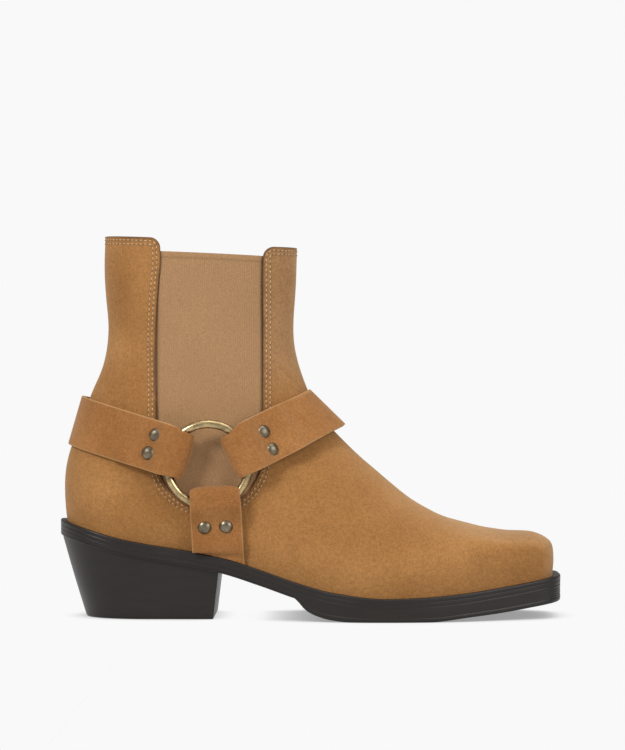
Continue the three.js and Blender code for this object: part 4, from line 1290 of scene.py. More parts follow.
    def build(self, wardrobe: Wardrobe) -> bpy.types.Object:
        """Build and dress the upper.

        Args:
            wardrobe: The finishes.

        Returns:
            The suede shell.
        """
        s = self.last.s
        low, high = self.last.sections(0.0, s.wall, self.density, self.columns)
        shell = solid_of("suede_upper", low, high)
        points = coordinates(shell)
        set_coordinates(shell, points + normals(shell) * self.relief(points)[:, None])
        in_low, in_high = self.last.sections(s.wall, s.welt_width + s.wall, 2, 24)
        hollow = solid_of("hollow", in_low, in_high)
        near = side_prism("near_opening", self.opening(-1), -s.sole_length, 0.5)
        far = side_prism("far_opening", self.opening(1), -0.5, s.sole_length)
        cut(shell, [hollow, near, far])
        self.mark(shell)
        smooth(shell, 35)
        wardrobe.dress(shell, Finish.SUEDE, Finish.LINING)
        self.line_inside(shell)
        place_piece(shell, ["upper"])
        self.stitch(shell, wardrobe)
        self.trim(wardrobe)
        return shell

    def trim(self, wardrobe: Wardrobe) -> None:
        """The dark cut edge round the opening."""
        path = self.edge_path(0.12, self.bead)[:-1]
        along = np.roll(path, -1, 0) - np.roll(path, 1, 0)
        along /= np.linalg.norm(along, axis=1)[:, None]
        middle = path.mean(0) * np.array([1.0, 1.0, 1.0])
        out = path - np.array([middle[0], 0.0, middle[2]])
        side = np.cross(along, out)
        side /= np.linalg.norm(side, axis=1)[:, None]
        up = np.cross(side, along)
        turn = np.linspace(0, 2 * math.pi, 9)[:-1]
        ring = np.cos(turn)[None, :, None] * side[:, None, :] + np.sin(turn)[None, :, None] * up[:, None, :]
        made = tube("opening_edge", path[:, None, :] + self.bead * ring, closed_way=True)
        wardrobe.dress(made, Finish.CUT)
        place_piece(made)

    def mark(self, shell: bpy.types.Object) -> None:
        """Keep the masks that the suede's finish reads."""
        s = self.last.s
        points = coordinates(shell)
        x, _, z = points.T
        front = smoothstep(x, s.gore_middle, s.gore_middle + 0.5 * s.gore_width)
        high = smoothstep(z, 0.95 * s.instep_height, 1.3 * s.instep_height)
        depth, _ = self.last.top.nearest(x, z, 1)
        # Pale mask: the front panel above the instep paler and greyer, and a painted highlight along the top ridge of
        # the forefoot and toe.
        ridge = smoothstep(x, 0.72 * s.sole_length, 0.86 * s.sole_length) * (1 - smoothstep(depth, 3.0, 8.0))
        set_values(shell, "pale", np.maximum(front * high, 0.55 * ridge))
        rim = self.rim_distance(points)
        set_values(shell, "edge", 0.0 * rim)
        set_values(shell, "tone_and_top_highlight", self.tone_patches_and_top_highlight(points))
        set_values(shell, "line", 0.75 * (1 - smoothstep(rim, 0.0, 0.9)))

    def tone_patches_and_top_highlight(self, points: Array) -> Array:
        """Tone of the suede about 0.5, with lighter and darker patches at given places and a painted highlight along
        the top of the forefoot and toe.
        """
        x, _, z = points.T
        tone = np.full(len(points), 0.5)
        for place, high, wide, tall, strength in self.patches:
            tone += strength * np.exp(-(((x - place) / wide) ** 2) - ((z - high) / tall) ** 2)
        # Painted highlight: the forefoot's and toe's top made lighter than their sides, as if lit from above.
        depth, _ = self.last.top.nearest(x, z, 1)
        fore = smoothstep(x, 0.5 * self.last.s.sole_length, 0.75 * self.last.s.sole_length)
        toe = smoothstep(x, 0.78 * self.last.s.sole_length, 0.88 * self.last.s.sole_length)
        tone += 0.3 * fore * (1 - smoothstep((depth - lerp(2.0, 4.5, toe)) / lerp(15.0, 4.0, toe), 0.0, 1.0))
        return np.clip(tone, 0, 1)

    def rim_distance(self, points: Array) -> Array:
        """Distance of points in the side view from the opening's edge."""
        flat = resample(self.side_path(0.0, -1), 500)
        best = np.full(len(points), 1e9)
        for start in range(0, len(points), 8000):
            part = points[start : start + 8000]
            off = np.hypot(part[:, 0:1] - flat[None, :, 0], part[:, 2:3] - flat[None, :, 1])
            best[start : start + 8000] = off.min(1)
        return best

    def line_inside(self, shell: bpy.types.Object) -> None:
        """Give the faces inside the hollow the lining's finish."""
        mesh = shell.data
        count = len(mesh.polygons)
        middle = np.empty(count * 3, np.float32)
        mesh.polygons.foreach_get("center", middle)
        middle = middle.reshape(-1, 3).astype(float) / MM
        middle[:, 0] -= FRAME_SHIFT
        face = np.empty(count * 3, np.float32)
        mesh.polygons.foreach_get("normal", face)
        face = face.reshape(-1, 3)
        low, high = self.last.sides(middle[:, 0], middle[:, 2], 0.55 * self.last.s.wall)
        inside = (middle[:, 1] > low) & (middle[:, 1] < high)
        mesh.polygons.foreach_set("material_index", inside.astype(np.int32))
        mesh.update()

    def stitch(self, shell: bpy.types.Object, wardrobe: Wardrobe) -> None:
        """Sew the double rows round the opening."""
        tree = tree_of(shell)
        # Pale stitches, then dark beads of painted shade in the needle holes between them.
        for hole, label, finish in ((False, "edge_stitches", Finish.THREAD), (True, "edge_needle_hole_shades", Finish.HOLE_SHADE)):
            points, faces = [], []
            for offset in self.edge_rows:
                path = self.edge_path(offset, 0.0)
                more, shapes = self.stitching.build(label, path, tree, hole)
                start = sum(len(p) for p in points)
                points.append(more)
                faces += [tuple(start + k for k in f) for f in shapes]
            made = new_object(label, np.concatenate(points), faces)
            smooth(made, 80)
            wardrobe.dress(made, finish)
            place_piece(made)


# ---- Gores ------------------------------------------------------------------------------------


@dataclass
class Gore:
    """One elastic gore, with a folded band along its top."""

    last: Last
    side: int
    rib: float = 1.25
    band: float = 3.2

    def build(self, wardrobe: Wardrobe) -> bpy.types.Object:
        """Build and dress the gore.

        Args:
            wardrobe: The finishes.

        Returns:
            The webbing.
        """
        s = self.last.s
        half = s.gore_width / 2 + s.gore_lap
        centre = s.gore_bottom + s.gore_width / 2
        columns = int(2 * half / self.rib * 5) + 1
        u = np.linspace(-1, 1, columns)
        down = np.concatenate([np.linspace(0, 0.045, 14), np.linspace(0.045, 0.7, 46)[1:], 0.7 + 0.3 * np.sin(np.linspace(0, math.pi / 2, 22))[1:]])
        rows_outer, rows_inner = [], []
        name = "gore_lateral" if self.side < 0 else "gore_medial"
        for v in down:
            x = s.gore_middle + u * half
            top = s.collar_height - s.gore_drop - s.gore_tilt * (u + 1) / 2
            if v <= 0.7:
                z = lerp(top, centre, v / 0.7)
            else:
                angle = (v - 0.7) / 0.3 * math.pi / 2
                x = s.gore_middle + u * half * max(math.cos(angle), 0.02)
                z = np.full(columns, centre - half * math.sin(angle))
            depth = (top - z)
            ribs = 0.03 * np.cos(2 * math.pi * (x - s.gore_middle) / self.rib)
            roll = 0.25 * (1 - smoothstep(depth, self.band - 0.5, self.band + 0.1)) * smoothstep(depth, -0.1, 0.5)
            groove = -0.12 * np.exp(-(((depth - self.band - 0.3) / 0.35) ** 2))
            lift = ribs * smoothstep(depth, self.band, self.band + 1) + roll + groove
            open_half = s.gore_width / 2
            inside = open_half - np.hypot(x - s.gore_middle, np.minimum(z - centre, 0.0))
            lift += 1.2 * smoothstep(inside, -0.6, 2.4)
            lift += 0.35 * wave(np.stack([x, 0 * x, z], 1), 60.0, 4.0 + self.side)
            base = s.wall + s.gap
            outer = self.last.face(x, z, self.side, base - lift)
            inner = self.last.face(x, z, self.side, np.full(columns, base + s.gore_thickness))
            rows_outer.append(np.stack([x, outer, z], 1))
            rows_inner.append(np.stack([x, inner, z], 1))
        rings = np.array([np.concatenate([a, b[::-1]]) for a, b in zip(rows_outer, rows_inner)])
        made = tube(f"webbing_{name}", rings)
        points = coordinates(made)
        top = s.collar_height - s.gore_drop - s.gore_tilt * ((points[:, 0] - s.gore_middle) / half + 1) / 2
        depth = top - points[:, 2]
        # Line mask: painted shade in the groove under the folded band, and a darker top edge.
        line = np.exp(-(((depth - self.band - 0.3) / 0.5) ** 2)) * 0.18 + 0.35 * (1 - smoothstep(depth, 0.1, 0.7))
        set_values(made, "line", line)
        wardrobe.dress(made, Finish.ELASTIC)
        place_piece(made, [name])
        return made


# ---- Sole -------------------------------------------------------------------------------------


@dataclass
class Sole:
    """Welt, midsole, outsole, heel and insole."""

    last: Last
    heel_steps: int = 26
    middle_steps: int = 96
    toe_steps: int = 26

    def half(self, x: Array, inset: float) -> Array:
        """Half the sole's width for an edge inset from the welt's."""
        s = self.last.s
        full = self.last.plan.value("width", x / s.sole_length) / 2 + s.welt_width - inset
        toe = round_over(s.sole_length - inset - x, s.toe_corner + s.welt_width - inset, s.toe_power)
        heel = round_over(x - inset, s.heel_corner + s.welt_width - inset, s.heel_power)
        return full * toe * heel

    def stations(self, inset: float) -> Array:
        """Places along a sole piece, close together at its ends."""
        s = self.last.s
        heel = s.heel_corner + s.welt_width - inset
        toe = s.toe_corner + s.welt_width - inset
        start = inset + heel * (1 - np.cos(np.linspace(0, math.pi / 2, self.heel_steps, endpoint=False)))
        middle = np.linspace(inset + heel, s.sole_length - inset - toe, self.middle_steps, endpoint=False)
        turn = np.linspace(math.pi / 2, 0, self.toe_steps + 1)
        end = s.sole_length - inset - toe * (1 - np.cos(turn) ** (2 / s.toe_power))
        return np.concatenate([start, middle, end])

    def level(self, inset: float, height: Callable[[Array], Array]) -> Array:
        """One ring of the sole's edge.

        Args:
            inset: How far it lies inside the welt's edge.
            height: Its height at places in X.

        Returns:
            Points round the sole.
        """
        x = self.stations(inset)
        middle = self.last.plan.value("bias", x / self.last.s.sole_length)
        half = self.half(x, inset)
        z = height(x)
        outer = np.stack([x, middle - half, z], 1)
        inner = np.stack([x, middle + half, z], 1)[::-1]
        return np.concatenate([outer, inner])

    def stack(self, name: str, levels: Sequence[Array], ring: bool = False) -> bpy.types.Object:
        """A closed piece from rings that follow each other downwards."""
        if ring:
            return tube(name, np.array(levels), closed_way=True)
        rows = np.array(levels)
        count, columns = rows.shape[:2]
        faces = grid_faces(count, columns, closed=True)
        for base in (0, (count - 1) * columns):
            for j in range(columns // 2 - 1):
                faces.append((base + j, base + j + 1, base + columns - 2 - j, base + columns - 1 - j))
        made = new_object(name, rows, faces)
        clean(made)
        smooth(made, 50)
        return made

    def ground(self, x: Array) -> Array:
        """Height of the outsole's underside."""
        s = self.last.s
        spring = s.toe_spring
        tread = Table(["share", "lift"], [
            (0.474, 0.0, 0), (0.495, 0.45, 0), (0.52, 0.7, 0), (0.545, 0.87, 0), (0.584, 1.0, 0),
            (0.733, 1.0, 0), (0.813, 1.0, 0.2 * spring), (0.873, 1.0, 0.36 * spring),
            (0.945, 1.0, 0.63 * spring), (1.0, 1.0, 0.86 * spring),
        ])
        along = x / s.sole_length
        waist = self.last.feather(x) - s.sole_thickness
        share = np.where(along < 0.474, 0.0, tread.value("share", along))
        return lerp(waist, tread.value("lift", along), share)

    def build_welt(self, wardrobe: Wardrobe) -> None:
        """The lip that the upper stands on."""
        s = self.last.s
        t = s.welt_thickness
        profile = [(3.4, 0.0), (1.0, 0.0), (0.6, 0.05), (0.28, 0.2), (0.1, 0.45), (0.02, 0.8), (0.0, 1.2), (0.0, 2.0), (0.03, 2.35), (0.12, t), (s.welt_width + s.wall, t), (s.welt_width + s.wall, 0.0)]
        levels = [self.level(i, lambda x, d=d: self.last.feather(x) - d) for i, d in profile]
        made = self.stack("welt_lip", levels, ring=True)
        wardrobe.dress(made, Finish.SOLE)
        place_piece(made, ["welt"])

    def build_midsole(self, wardrobe: Wardrobe) -> None:
        """The layer under the welt."""
        s = self.last.s
        top = s.welt_thickness
        low = s.welt_thickness + s.midsole_thickness
        profile = [(3.0, top), (0.2, top), (0.1, top + 0.12), (0.06, top + 0.5), (0.06, low - 0.5), (0.08, low - 0.15), (0.16, low), (3.0, low)]
        levels = [self.level(i, lambda x, d=d: self.last.feather(x) - d) for i, d in profile]
        made = self.stack("midsole_edge", levels)
        wardrobe.dress(made, Finish.SOLE)
        place_piece(made, ["midsole"])

    def build_outsole(self, wardrobe: Wardrobe) -> None:
        """The half sole with its tread line and the ribs at the toe."""
        s = self.last.s

        def height(x: Array, share: float) -> Array:
            top = self.last.feather(x) - s.welt_thickness - s.midsole_thickness - 0.06
            return lerp(top, self.ground(x), share)

        profile = [(3.0, 0.0), (0.2, 0.0), (0.1, 0.03), (0.08, 0.08)]
        for k in range(29):
            share = lerp(0.12, 0.64, k / 28)
            rib = 0.5 - 0.5 * math.cos(2 * math.pi * (share - 0.12) / 0.13)
            profile.append((0.08, share, 0.3 * rib))
        profile += [(0.1, 0.67), (0.24, 0.69), (0.24, 0.71), (0.1, 0.735), (0.08, 0.85), (0.25, 0.95), (0.8, 1.0), (3.0, 1.0)]
        levels = []
        for row in profile:
            level = self.level(row[0], lambda x, share=row[1]: height(x, share))
            if len(row) > 2:
                level[:, 0] -= row[2] * smoothstep(level[:, 0], 0.94 * s.sole_length, 0.975 * s.sole_length)
            levels.append(level)
        made = self.stack("outsole", levels)
        wardrobe.dress(made, Finish.SOLE)
        made.name = "half_sole"
        place_piece(made, ["outsole"])

    def build_heel(self, wardrobe: Wardrobe) -> None:
        """The angled block heel."""
        s = self.last.s
        reach = s.heel_corner + s.welt_width
        base = s.heel_breast - s.heel_base_length
        lean = (s.seat_height - s.sole_thickness) * s.heel_back_slope
        spread_line = Table(["spread"], [(0.0, 0.0), (0.33, 0.28), (0.66, 0.62), (1.0, 1.0)])
        ups = np.concatenate([[0.0, 0.004, 0.012, 0.025], np.linspace(0.05, 1.0, 26)])
        levels = []
        for up in ups[::-1]:
            rear = base - lean * up
            breast = s.heel_breast + s.heel_breast_lean * up
            soft = 0.7 * (1 - min(1.0, up / 0.025)) ** 2
            turn = np.linspace(0, math.pi / 2, 28, endpoint=False)
            round_part = rear + reach * (1 - np.cos(turn))
            flat_part = np.linspace(rear + reach, breast - 1.2, 26)
            corner = breast - 1.2 + 1.2 * np.sin(np.linspace(0, math.pi / 2, 7))[1:]
            x = np.concatenate([round_part, flat_part, corner])
            full = self.last.plan.value("width", x / s.sole_length) / 2 + s.welt_width - 1.0
            half = lerp(s.heel_base_width / 2, full, spread_line.value("spread", up))
            half = half * round_over(x - rear, reach, s.heel_power)
            near = np.clip((x - (breast - 1.2)) / 1.2, 0, 1)
            half = half - 1.2 * (1 - np.sqrt(np.clip(1 - near**2, 0, 1)))
            x = rear + (x - rear) * (1 - soft / (breast - rear)) + soft / 2
            half = np.maximum(half - soft, 0)
            z = up * (self.last.feather(x) - s.sole_thickness - 0.05)
            outer = np.stack([x, -half, z], 1)
            inner = np.stack([x, half, z], 1)[::-1]
            levels.append(np.concatenate([outer, inner]))
        made = self.stack("heel_block", levels)
        wardrobe.dress(made, Finish.SOLE)
        place_piece(made, ["heel"])

    def build_insole(self, wardrobe: Wardrobe) -> None:
        """The smooth insole inside."""
        s = self.last.s
        inset = s.welt_width + s.wall + 0.3
        top = s.insole_thickness - s.welt_thickness
        profile = [(inset + 6, top), (inset + 0.8, top), (inset + 0.2, top - 0.3), (inset, top - 1), (inset, -s.welt_thickness)]
        levels = [self.level(i, lambda x, d=d: self.last.feather(x) + d) for i, d in profile]
        made = self.stack("insole_board", levels)
        wardrobe.dress(made, Finish.LINING)
        place_piece(made, ["insole"])

    def build(self, wardrobe: Wardrobe) -> None:
        """Build every layer."""
        self.build_welt(wardrobe)
        self.build_midsole(wardrobe)
        self.build_outsole(wardrobe)
        self.build_heel(wardrobe)
        self.build_insole(wardrobe)


# ---- Harness ----------------------------------------------------------------------------------


class StrapKind(Enum):
    """The three straps at each ring."""

    REAR = "rear"
    INSTEP = "instep"
    DOWN = "down"


@dataclass
class StrapPlane:
    """Side view plane of a strap, which leaves the ring's centre at a bearing."""

    last: Last
    kind: StrapKind
    bearing: float
    across: float
    far_across: float
    shift: float
    reach: float
    lean: float = 0.0
    fold_at: float = 0.0
    ease: float = 0.0
    rivets: tuple[float, float] = (-5.4, 5.4)
    pinch: tuple[float, float] = (0.4, 0.4)
    tone: float = 0.5

    def __post_init__(self) -> None:
        """Work out where the strap folds and turns."""
        s = self.last.s
        angle = math.radians(self.bearing)
        self.way = np.array([math.cos(angle), math.sin(angle)])
        self.fold_radius = s.ring_wire / 2 + s.gap
        edge = s.strap_width / 2 + abs(self.shift)
        self.fold = self.fold_at or math.sqrt((s.ring_bore / 2) ** 2 - edge**2) + self.fold_radius - s.gap
        self.turn_start = s.rivet_reach
        self.turn_end = s.rivet_reach + s.strap_width

    def across_at(self, p: Array | float) -> Array:
        """Direction across the strap at places along it."""
        share = smoothstep(p, self.turn_start, self.turn_end)
        angle = np.radians(lerp(self.across, self.far_across, share))
        return np.stack([np.cos(angle), np.sin(angle)], -1)

    def place(self, p: Array | float, w: Array | float) -> Array:
        """Points in the side view."""
        s = self.last.s
        p, w = np.broadcast_arrays(np.asarray(p, float), np.asarray(w, float))
        centre = np.array([s.ring_place, s.ring_height])
        return centre + p[..., None] * self.way + (w + self.shift)[..., None] * self.across_at(p)

    def bulk(self, p: Array, side: int) -> Array:
        """How far the upper stands out under the strap's width.

        Args:
            p: Places along the strap.
            side: -1 or 1 for one side, 0 for the greater of both.

        Returns:
            Distances from the boot's middle plane.
        """
        w = np.linspace(-1, 1, 13) * self.last.s.strap_width / 2
        at = self.place(np.asarray(p, float)[:, None], w[None, :])
        low, high = self.last.sides(at[..., 0], at[..., 1])
        solid = high - low > self.last.s.gap
        outer = np.where(solid, -low, 0.0).max(1)
        inner = np.where(solid, high, 0.0).max(1)
        if side < 0:
            return outer
        return inner if side > 0 else np.maximum(outer, inner)

    def crest(self, points: Array) -> float:
        """How far along the strap an outline reaches within its width."""
        s = self.last.s
        a = self.across_at(1e3)
        det = self.way[0] * a[1] - self.way[1] * a[0]
        x, z = points[:, 0] - s.ring_place, points[:, 1] - s.ring_height
        p = (x * a[1] - z * a[0]) / det
        w = (self.way[0] * z - self.way[1] * x) / det
        near = np.abs(w) <= s.strap_width / 2 + s.strap_thickness
        return float(p[near].max()) + s.strap_room - self.ease


def tight_line(points: list[tuple[float, float]]) -> list[tuple[float, float]]:
    """The tight line over points that it must clear."""
    hull: list[tuple[float, float]] = []
    for q in points:
        while len(hull) > 1:
            a, b = hull[-2], hull[-1]
            if (b[0] - a[0]) * (q[1] - a[1]) - (b[1] - a[1]) * (q[0] - a[0]) < 0:
                break
            hull.pop()
        hull.append(q)
    return hull


@dataclass
class Harness:
    """The straps, their rings and rivets."""

    last: Last
    edge_round: float = 0.45
    edge_band: float = 0.35
    edge_highlight_strength: float = 0.4
    welt_room: float = 0.1
    flare: float = 3.6
    corner: float = 1.4

    def __post_init__(self) -> None:
        """Place the straps' planes and the ring."""
        s = self.last.s
        self.planes = {
            StrapKind.REAR: StrapPlane(self.last, StrapKind.REAR, 163.5, 73.9, 73.9, 1.4, 31.6, 0.6, rivets=(-4.6, 6.0), pinch=(0.8, 1.8), tone=0.47),
            StrapKind.INSTEP: StrapPlane(self.last, StrapKind.INSTEP, 26.3, 116.3, 135.5, -1.0, 33.0, ease=1.8, rivets=(-7.0, 3.8), pinch=(0.4, 3.2), tone=0.58),
            StrapKind.DOWN: StrapPlane(
                self.last, StrapKind.DOWN, -87.0, 3.0, 3.0, 2.9, 34.0, fold_at=16.0, rivets=(-6.6, 5.1), tone=0.38
            ),
        }
        self.fold_radius = s.ring_wire / 2 + s.gap
        self.pocket_end = s.ring_radius + self.fold_radius
        self.double_start = s.rivet_reach - s.rivet_diameter / 2
        self.double_end = s.rivet_reach + 1.6 * s.rivet_diameter
        under = [plane.bulk(np.linspace(plane.fold, self.pocket_end, 3), 0).max() for plane in self.planes.values()]
        self.layer_seat = max(under) + s.strap_room
        self.ring_offset = self.layer_seat + s.strap_thickness + self.fold_radius

    def seat(self, plane: StrapPlane, side: int, end: float, over: bool) -> Array:
        """Inner face of a strap from its fold to its far end, as places and heights."""
        s = self.last.s
        p = lerp(self.pocket_end, end, np.sin(np.linspace(0, math.pi / 2, 81)))
        y = plane.bulk(p, side) + s.strap_room
        if over:
            y[-1] = 0.0
        start = [(plane.fold, self.layer_seat), (self.pocket_end, self.layer_seat)]
        return np.array(tight_line(start + list(zip(p.tolist(), y.tolist()))))

    def lift(self, p: Array) -> Array:
        """How far the outer layer stands off the inner face."""
        s = self.last.s
        over_wire = s.strap_thickness + 2 * self.fold_radius
        on_layer = s.strap_thickness + 0.05
        down = smoothstep(p, s.ring_radius - 1.0, s.rivet_reach + 1.0)
        off = smoothstep(p, self.double_end + 1, self.double_end + 3 * s.strap_thickness)
        return lerp(lerp(over_wire, on_layer, down), 0.0, off)

    def path(self, plane: StrapPlane, line: Array, over: bool) -> Array:
        """Middle line of a strap through its leather."""
        s = self.last.s
        half = s.strap_thickness / 2
        end = line[-1, 0]
        p = np.linspace(plane.fold, end, 260)
        y = np.interp(p, line[:, 0], line[:, 1])
        tangent = np.stack([np.gradient(p), np.gradient(y)], 1)
        tangent /= np.hypot(*tangent.T)[:, None]
        normal = np.stack([-tangent[:, 1], tangent[:, 0]], 1)
        outer = np.stack([p, y], 1) + normal * (half + self.lift(p))[:, None]
        keep = p < self.double_end
        inner = (np.stack([p, y], 1) + normal * half)[keep][::-1]
        angle = np.linspace(0, math.pi, 14)[1:-1]
        radius = self.fold_radius + half
        fold = np.stack([plane.fold - radius * np.sin(angle), self.layer_seat + half + radius * (1 - np.cos(angle))], 1)
        outer = outer[outer[:, 0] < end + half]
        parts = [inner, fold, outer]
        if over:
            parts.append(np.array([[end + half, 0.0]]))
            whole = np.concatenate(parts)
            back = whole[:-1][::-1] * np.array([1, -1])
            whole = np.concatenate([whole, back])
        else:
            whole = np.concatenate(parts)
        return self.soften(whole)

    @staticmethod
    def soften(points: Array) -> Array:
        """Points of a path at even steps, with its corners eased."""
        length = np.hypot(*np.diff(points, axis=0).T).sum()
        even = resample(points, int(length / 0.8))
        for _ in range(8):
            even[1:-1] = 0.25 * even[:-2] + 0.5 * even[1:-1] + 0.25 * even[2:]
        return even

    def section(self) -> Array:
        """Outline of the leather across the strap, as places across and through it."""
        s = self.last.s
        w, t, r = s.strap_width / 2, s.strap_thickness / 2, self.edge_round
        inner = w - r - self.edge_band
        flat = np.concatenate([[-w + r], np.linspace(-inner, inner, 15), [w - r]])
        top = np.stack([flat, np.full(len(flat), t)], 1)
        right = arc(w - r, t - r, r, 90, 0, 3)[1:]
        right_low = arc(w - r, -t + r, r, 0, -90, 3)[:-1]
        half = np.concatenate([top, right, right_low])
        return np.concatenate([half, -half])

    def strap(self, name: str, plane: StrapPlane, path: Array, side: int) -> bpy.types.Object:
        """A strap along its middle line.

        Args:
            name: The object's name.
            plane: Its side view plane.
            path: Its middle line, as places and heights.
            side: Side of the boot that heights point to.

        Returns:
            The new object.
        """
        centre = plane.place(path[:, 0], 0.0)
        at = np.stack([centre[:, 0], side * path[:, 1], centre[:, 1]], 1)
        flat = plane.across_at(path[:, 0])
        across = np.stack([flat[:, 0], np.zeros(len(flat)), flat[:, 1]], 1)
        along = np.gradient(at, axis=0)
        along /= np.linalg.norm(along, axis=1)[:, None]
        normal = np.cross(across, along)
        normal /= np.linalg.norm(normal, axis=1)[:, None]
        shape = self.section()
        near = 1 - smoothstep(path[:, 0], plane.fold - 3, plane.fold + 13)
        w = shape[None, :, 0] / (self.last.s.strap_width / 2)
        low, high = plane.pinch
        pinched = np.where(w < 0, low, -high) * w**2 * near[:, None]
        corner = self.corner * near[:, None] * w**4
        rows = at[:, None, :] + (shape[None, :, 0] + pinched)[..., None] * across[:, None, :]
        rows += shape[None, :, 1:2] * normal[:, None, :]
        way = np.array([plane.way[0], 0.0, plane.way[1]])
        rows += corner[..., None] * way
        if plane.kind is StrapKind.DOWN:
            rows = self.follow_welt(plane, path, rows)
        if plane.kind is StrapKind.INSTEP:
            end = path[:, 0].max()
            away = smoothstep(path[:, 0], 30.0, 48.0) * (1 - smoothstep(path[:, 0], end - 22, end - 3))
            away *= self.flare * np.sign(at[:, 1])
            rows[:, :, 1] += away[:, None] * (0.5 - shape[None, :, 0] / self.last.s.strap_width)
        made = tube(name, rows)
        self.mark(made, plane)
        return made

    def follow_welt(self, plane: StrapPlane, path: Array, rows: Array) -> Array:
        """Shear a strap's lower end so that it is cut along the welt."""
        end = rows[-1]
        share = smoothstep(path[:, 0], self.double_end, path[-1, 0])
        share[: int(path[:, 0].argmin())] = 0.0
        drop = end[:, 2] - self.last.feather(end[:, 0]) - self.welt_room
        moved = rows.copy()
        moved[:, :, 2] -= share[:, None] * drop[None, :]
        return moved

    def mark(self, made: bpy.types.Object, plane: StrapPlane) -> None:
        """Keep a strap's masks: a painted highlight along its long edges, and its tone."""
        s = self.last.s
        points = coordinates(made)
        x, z = points[:, 0] - s.ring_place, points[:, 2] - s.ring_height
        p = x * plane.way[0] + z * plane.way[1]
        a = plane.across_at(p)
        det = plane.way[0] * a[:, 1] - plane.way[1] * a[:, 0]
        w = (plane.way[0] * z - plane.way[1] * x) / det - plane.shift
        # Painted highlight: a paler band along both long edges of the strap.
        edge = smoothstep(np.abs(w), s.strap_width / 2 - 0.85, s.strap_width / 2 - 0.3)
        set_values(made, "edge", self.edge_highlight_strength * edge)
        set_values(made, "tone_and_top_highlight", np.full(len(points), plane.tone))
        set_values(made, "pale", np.zeros(len(points)))
        set_values(made, "line", np.zeros(len(points)))

    def rivet_seats(self, plane: StrapPlane, line: Array, side: int) -> list[tuple[Array, Array]]:
        """Middle and direction of the two rivets at a strap's end."""
        s = self.last.s
        near = np.interp([plane.reach - 0.5, plane.reach + 0.5], line[:, 0], line[:, 1])
        slope = float(near[1] - near[0])
        y = float(near.mean())
        length = math.hypot(1, slope)
        out = float(self.lift(np.array([plane.reach]))[0]) + s.strap_thickness
        p = plane.reach - slope / length * out
        height = y + out / length
        seats = []
        for end, w in zip((-1, 1), plane.rivets):
            c = plane.place(p - end * plane.lean, w)
            normal = np.array([-slope * plane.way[0], side, -slope * plane.way[1]])
            seats.append((np.array([c[0], side * height, c[1]]), normal / np.linalg.norm(normal)))
        return seats

    def rivet(self, name: str, seat: tuple[Array, Array], wardrobe: Wardrobe) -> None:
        """A domed rivet."""
        s = self.last.s
        middle, normal = seat
        r = s.rivet_diameter / 2
        profile = [(0.001, 1.0), (0.2, 0.985), (0.4, 0.93), (0.58, 0.82), (0.74, 0.64), (0.86, 0.44), (0.94, 0.24), (0.985, 0.08), (1.0, -0.08), (0.96, -0.22), (0.6, -0.25)]
        side = np.cross(normal, [0.0, 0.0, 1.0])
        side /= np.linalg.norm(side)
        up = np.cross(side, normal)
        angle = np.linspace(0, 2 * math.pi, 33)[:-1]
        ring = np.cos(angle)[:, None] * side + np.sin(angle)[:, None] * up
        rows = np.array([middle + normal * (0.1 + h * s.rivet_dome) + ring * (d * r) for d, h in profile])
        made = tube(f"{name}_cap", rows)
        wardrobe.dress(made, Finish.RIVET)
        place_piece(made, [name])

    def ring(self, name: str, side: int, wardrobe: Wardrobe) -> None:
        """A round brass ring."""
        s = self.last.s
        turn = np.linspace(0, 2 * math.pi, 129)[:-1]
        wire = np.linspace(0, 2 * math.pi, 25)[:-1]
        out = s.ring_radius + s.ring_wire / 2 * np.cos(wire)[None, :]
        x = s.ring_place + out * np.cos(turn)[:, None]
        z = s.ring_height + out * np.sin(turn)[:, None]
        y = side * self.ring_offset + s.ring_wire / 2 * np.sin(wire)[None, :] + 0 * x
        made = tube(f"{name}_wire", np.stack([x, y, z], 2), closed_way=True)
        wardrobe.dress(made, Finish.BRASS)
        place_piece(made, [name])

    def build(self, wardrobe: Wardrobe) -> None:
        """Build and dress the whole harness."""
        s = self.last.s
        names = {-1: "lateral", 1: "medial"}
        for kind, outline in ((StrapKind.REAR, self.last.back.points), (StrapKind.INSTEP, self.last.top.points)):
            plane = self.planes[kind]
            line = self.seat(plane, 0, plane.crest(outline), True)
            path = self.path(plane, line, True)
            made = self.strap(f"{kind.value}_strap", plane, path, -1)
            wardrobe.dress(made, Finish.STRAP)
            place_piece(made, [f"strap_{kind.value}"])
            for side, label in names.items():
                for k, seat in enumerate(self.rivet_seats(plane, line, side)):
                    self.rivet(f"rivet_{kind.value}_{label}_{k + 1}", seat, wardrobe)
        plane = self.planes[StrapKind.DOWN]
        end = s.ring_height - float(self.last.feather(s.ring_place + s.strap_width)) - 1.5
        for side, label in names.items():
            line = self.seat(plane, side, end, False)
            made = self.strap(f"down_strap_{label}", plane, self.path(plane, line, False), side)
            wardrobe.dress(made, Finish.STRAP)
            place_piece(made, [f"strap_down_{label}"])
            for k, seat in enumerate(self.rivet_seats(plane, line, side)):
                self.rivet(f"rivet_down_{label}_{k + 1}", seat, wardrobe)
            self.ring(f"ring_{label}", side, wardrobe)


# ---- Studio -----------------------------------------------------------------------------------


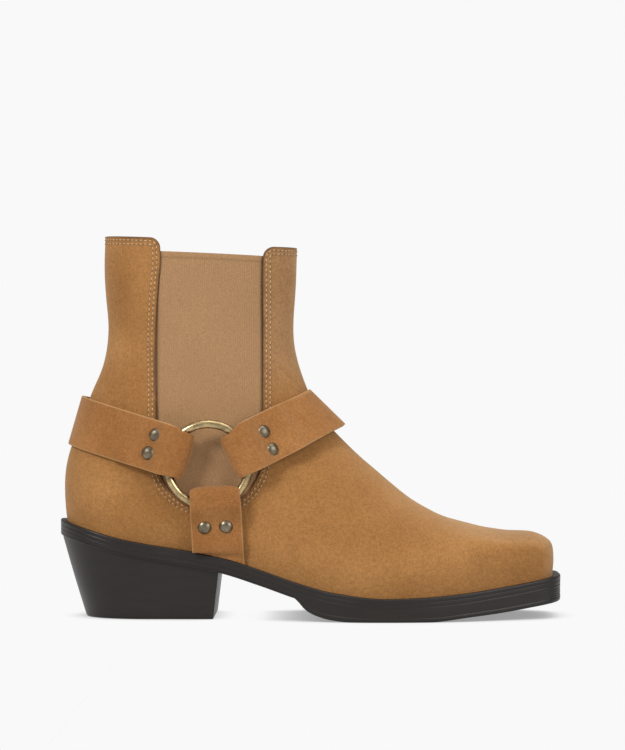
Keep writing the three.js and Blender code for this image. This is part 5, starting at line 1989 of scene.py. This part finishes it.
@dataclass
class Studio:
    """Pale floor, soft lights and the camera."""

    distance: float = 1.575
    lens: float = 135.0
    aim: tuple[float, float, float] = (0.0903, 0.0, 0.1344)
    yaw: float = 0.6
    pale: float = 0.947
    sky: float = 0.42
    contact: float = 0.022
    shadow: float = 0.34

    def build(self) -> None:
        """Build the stage."""
        self.floor()
        self.lights()
        self.camera()

    def floor(self) -> None:
        """A plain pale floor that runs to the horizon, with soft shade close under the boot."""
        u = np.linspace(-60, 60, 3)
        points = [(x * 1000 - FRAME_SHIFT, y * 1000, 0.0) for y in (-4.0, 1.5, 8.0, 60.0) for x in u]
        made = new_object("floor", np.array(points), grid_faces(4, 3))
        material, n, shader, _ = new_material("pale_floor")
        near = n.add("ShaderNodeAmbientOcclusion", samples=12)
        n.feed(near, Distance=self.contact)
        tone = n.span(near.outputs["AO"], 0.02, 0.8, (self.shadow, 1.0))
        n.feed(shader, Base_Color=(0.0, 0.0, 0.0, 1.0), Roughness=1.0, Specular_IOR_Level=0.0)
        n.feed(shader, Emission_Color=(1.0, 1.0, 1.0, 1.0), Emission_Strength=n.math("MULTIPLY", tone, self.pale))
        made.data.materials.append(material)

    @staticmethod
    def put_lamp(name: str, place: Sequence[float], size: float, power: float) -> None:
        """Place a large soft lamp that points at the boot.

        Args:
            name: The lamp's name.
            place: Where it hangs.
            size: Length of its sides.
            power: Its power in watts.
        """
        lamp = bpy.data.lights.new(name, "AREA")
        lamp.size = size
        lamp.energy = power
        made = bpy.data.objects.new(name, lamp)
        made.location = place
        made.rotation_euler = (Vector((0.09, 0.0, 0.09)) - Vector(place)).to_track_quat("-Z", "Y").to_euler()
        bpy.context.scene.collection.objects.link(made)

    def lights(self) -> None:
        """An even pale sky, paler to the camera than to the boot."""
        world = bpy.data.worlds.new("studio")
        world.use_nodes = True
        n = Nodes(world.node_tree)
        ray = n.add("ShaderNodeLightPath").outputs["Is Camera Ray"]
        sky = world.node_tree.nodes["Background"]
        n.feed(sky, Color=(1.0, 1.0, 1.0, 1.0), Strength=n.math("ADD", n.math("MULTIPLY", ray, self.pale - self.sky), self.sky))
        bpy.context.scene.world = world
        self.put_lamp("key", (-1.0, -1.3, 1.25), 0.55, 26.5)
        self.put_lamp("fill", (1.25, -1.2, 0.8), 1.0, 13.5)
        self.put_lamp("top", (0.25, -0.2, 1.6), 1.2, 11.0)

    def camera(self) -> None:
        """The camera of the side view."""
        data = bpy.data.cameras.new("camera")
        data.lens = self.lens
        made = bpy.data.objects.new("camera", data)
        yaw = math.radians(self.yaw)
        aim = Vector(self.aim)
        made.location = aim + Vector((math.sin(yaw), -math.cos(yaw), 0)) * self.distance
        made.rotation_euler = (aim - made.location).to_track_quat("-Z", "Y").to_euler()
        bpy.context.scene.collection.objects.link(made)
        bpy.context.scene.camera = made


def main() -> None:
    """Build the dressed boot and the studio."""
    logging.basicConfig(level=logging.INFO, format="%(message)s")
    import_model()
    bpy.context.scene.view_settings.view_transform = "Standard"
    wardrobe = Wardrobe()
    last = Last(Sizes())
    Upper(last).build(wardrobe)
    for side in (-1, 1):
        Gore(last, side).build(wardrobe)
    Sole(last).build(wardrobe)
    Harness(last).build(wardrobe)
    Studio().build()


if __name__ == "__main__":
    main()
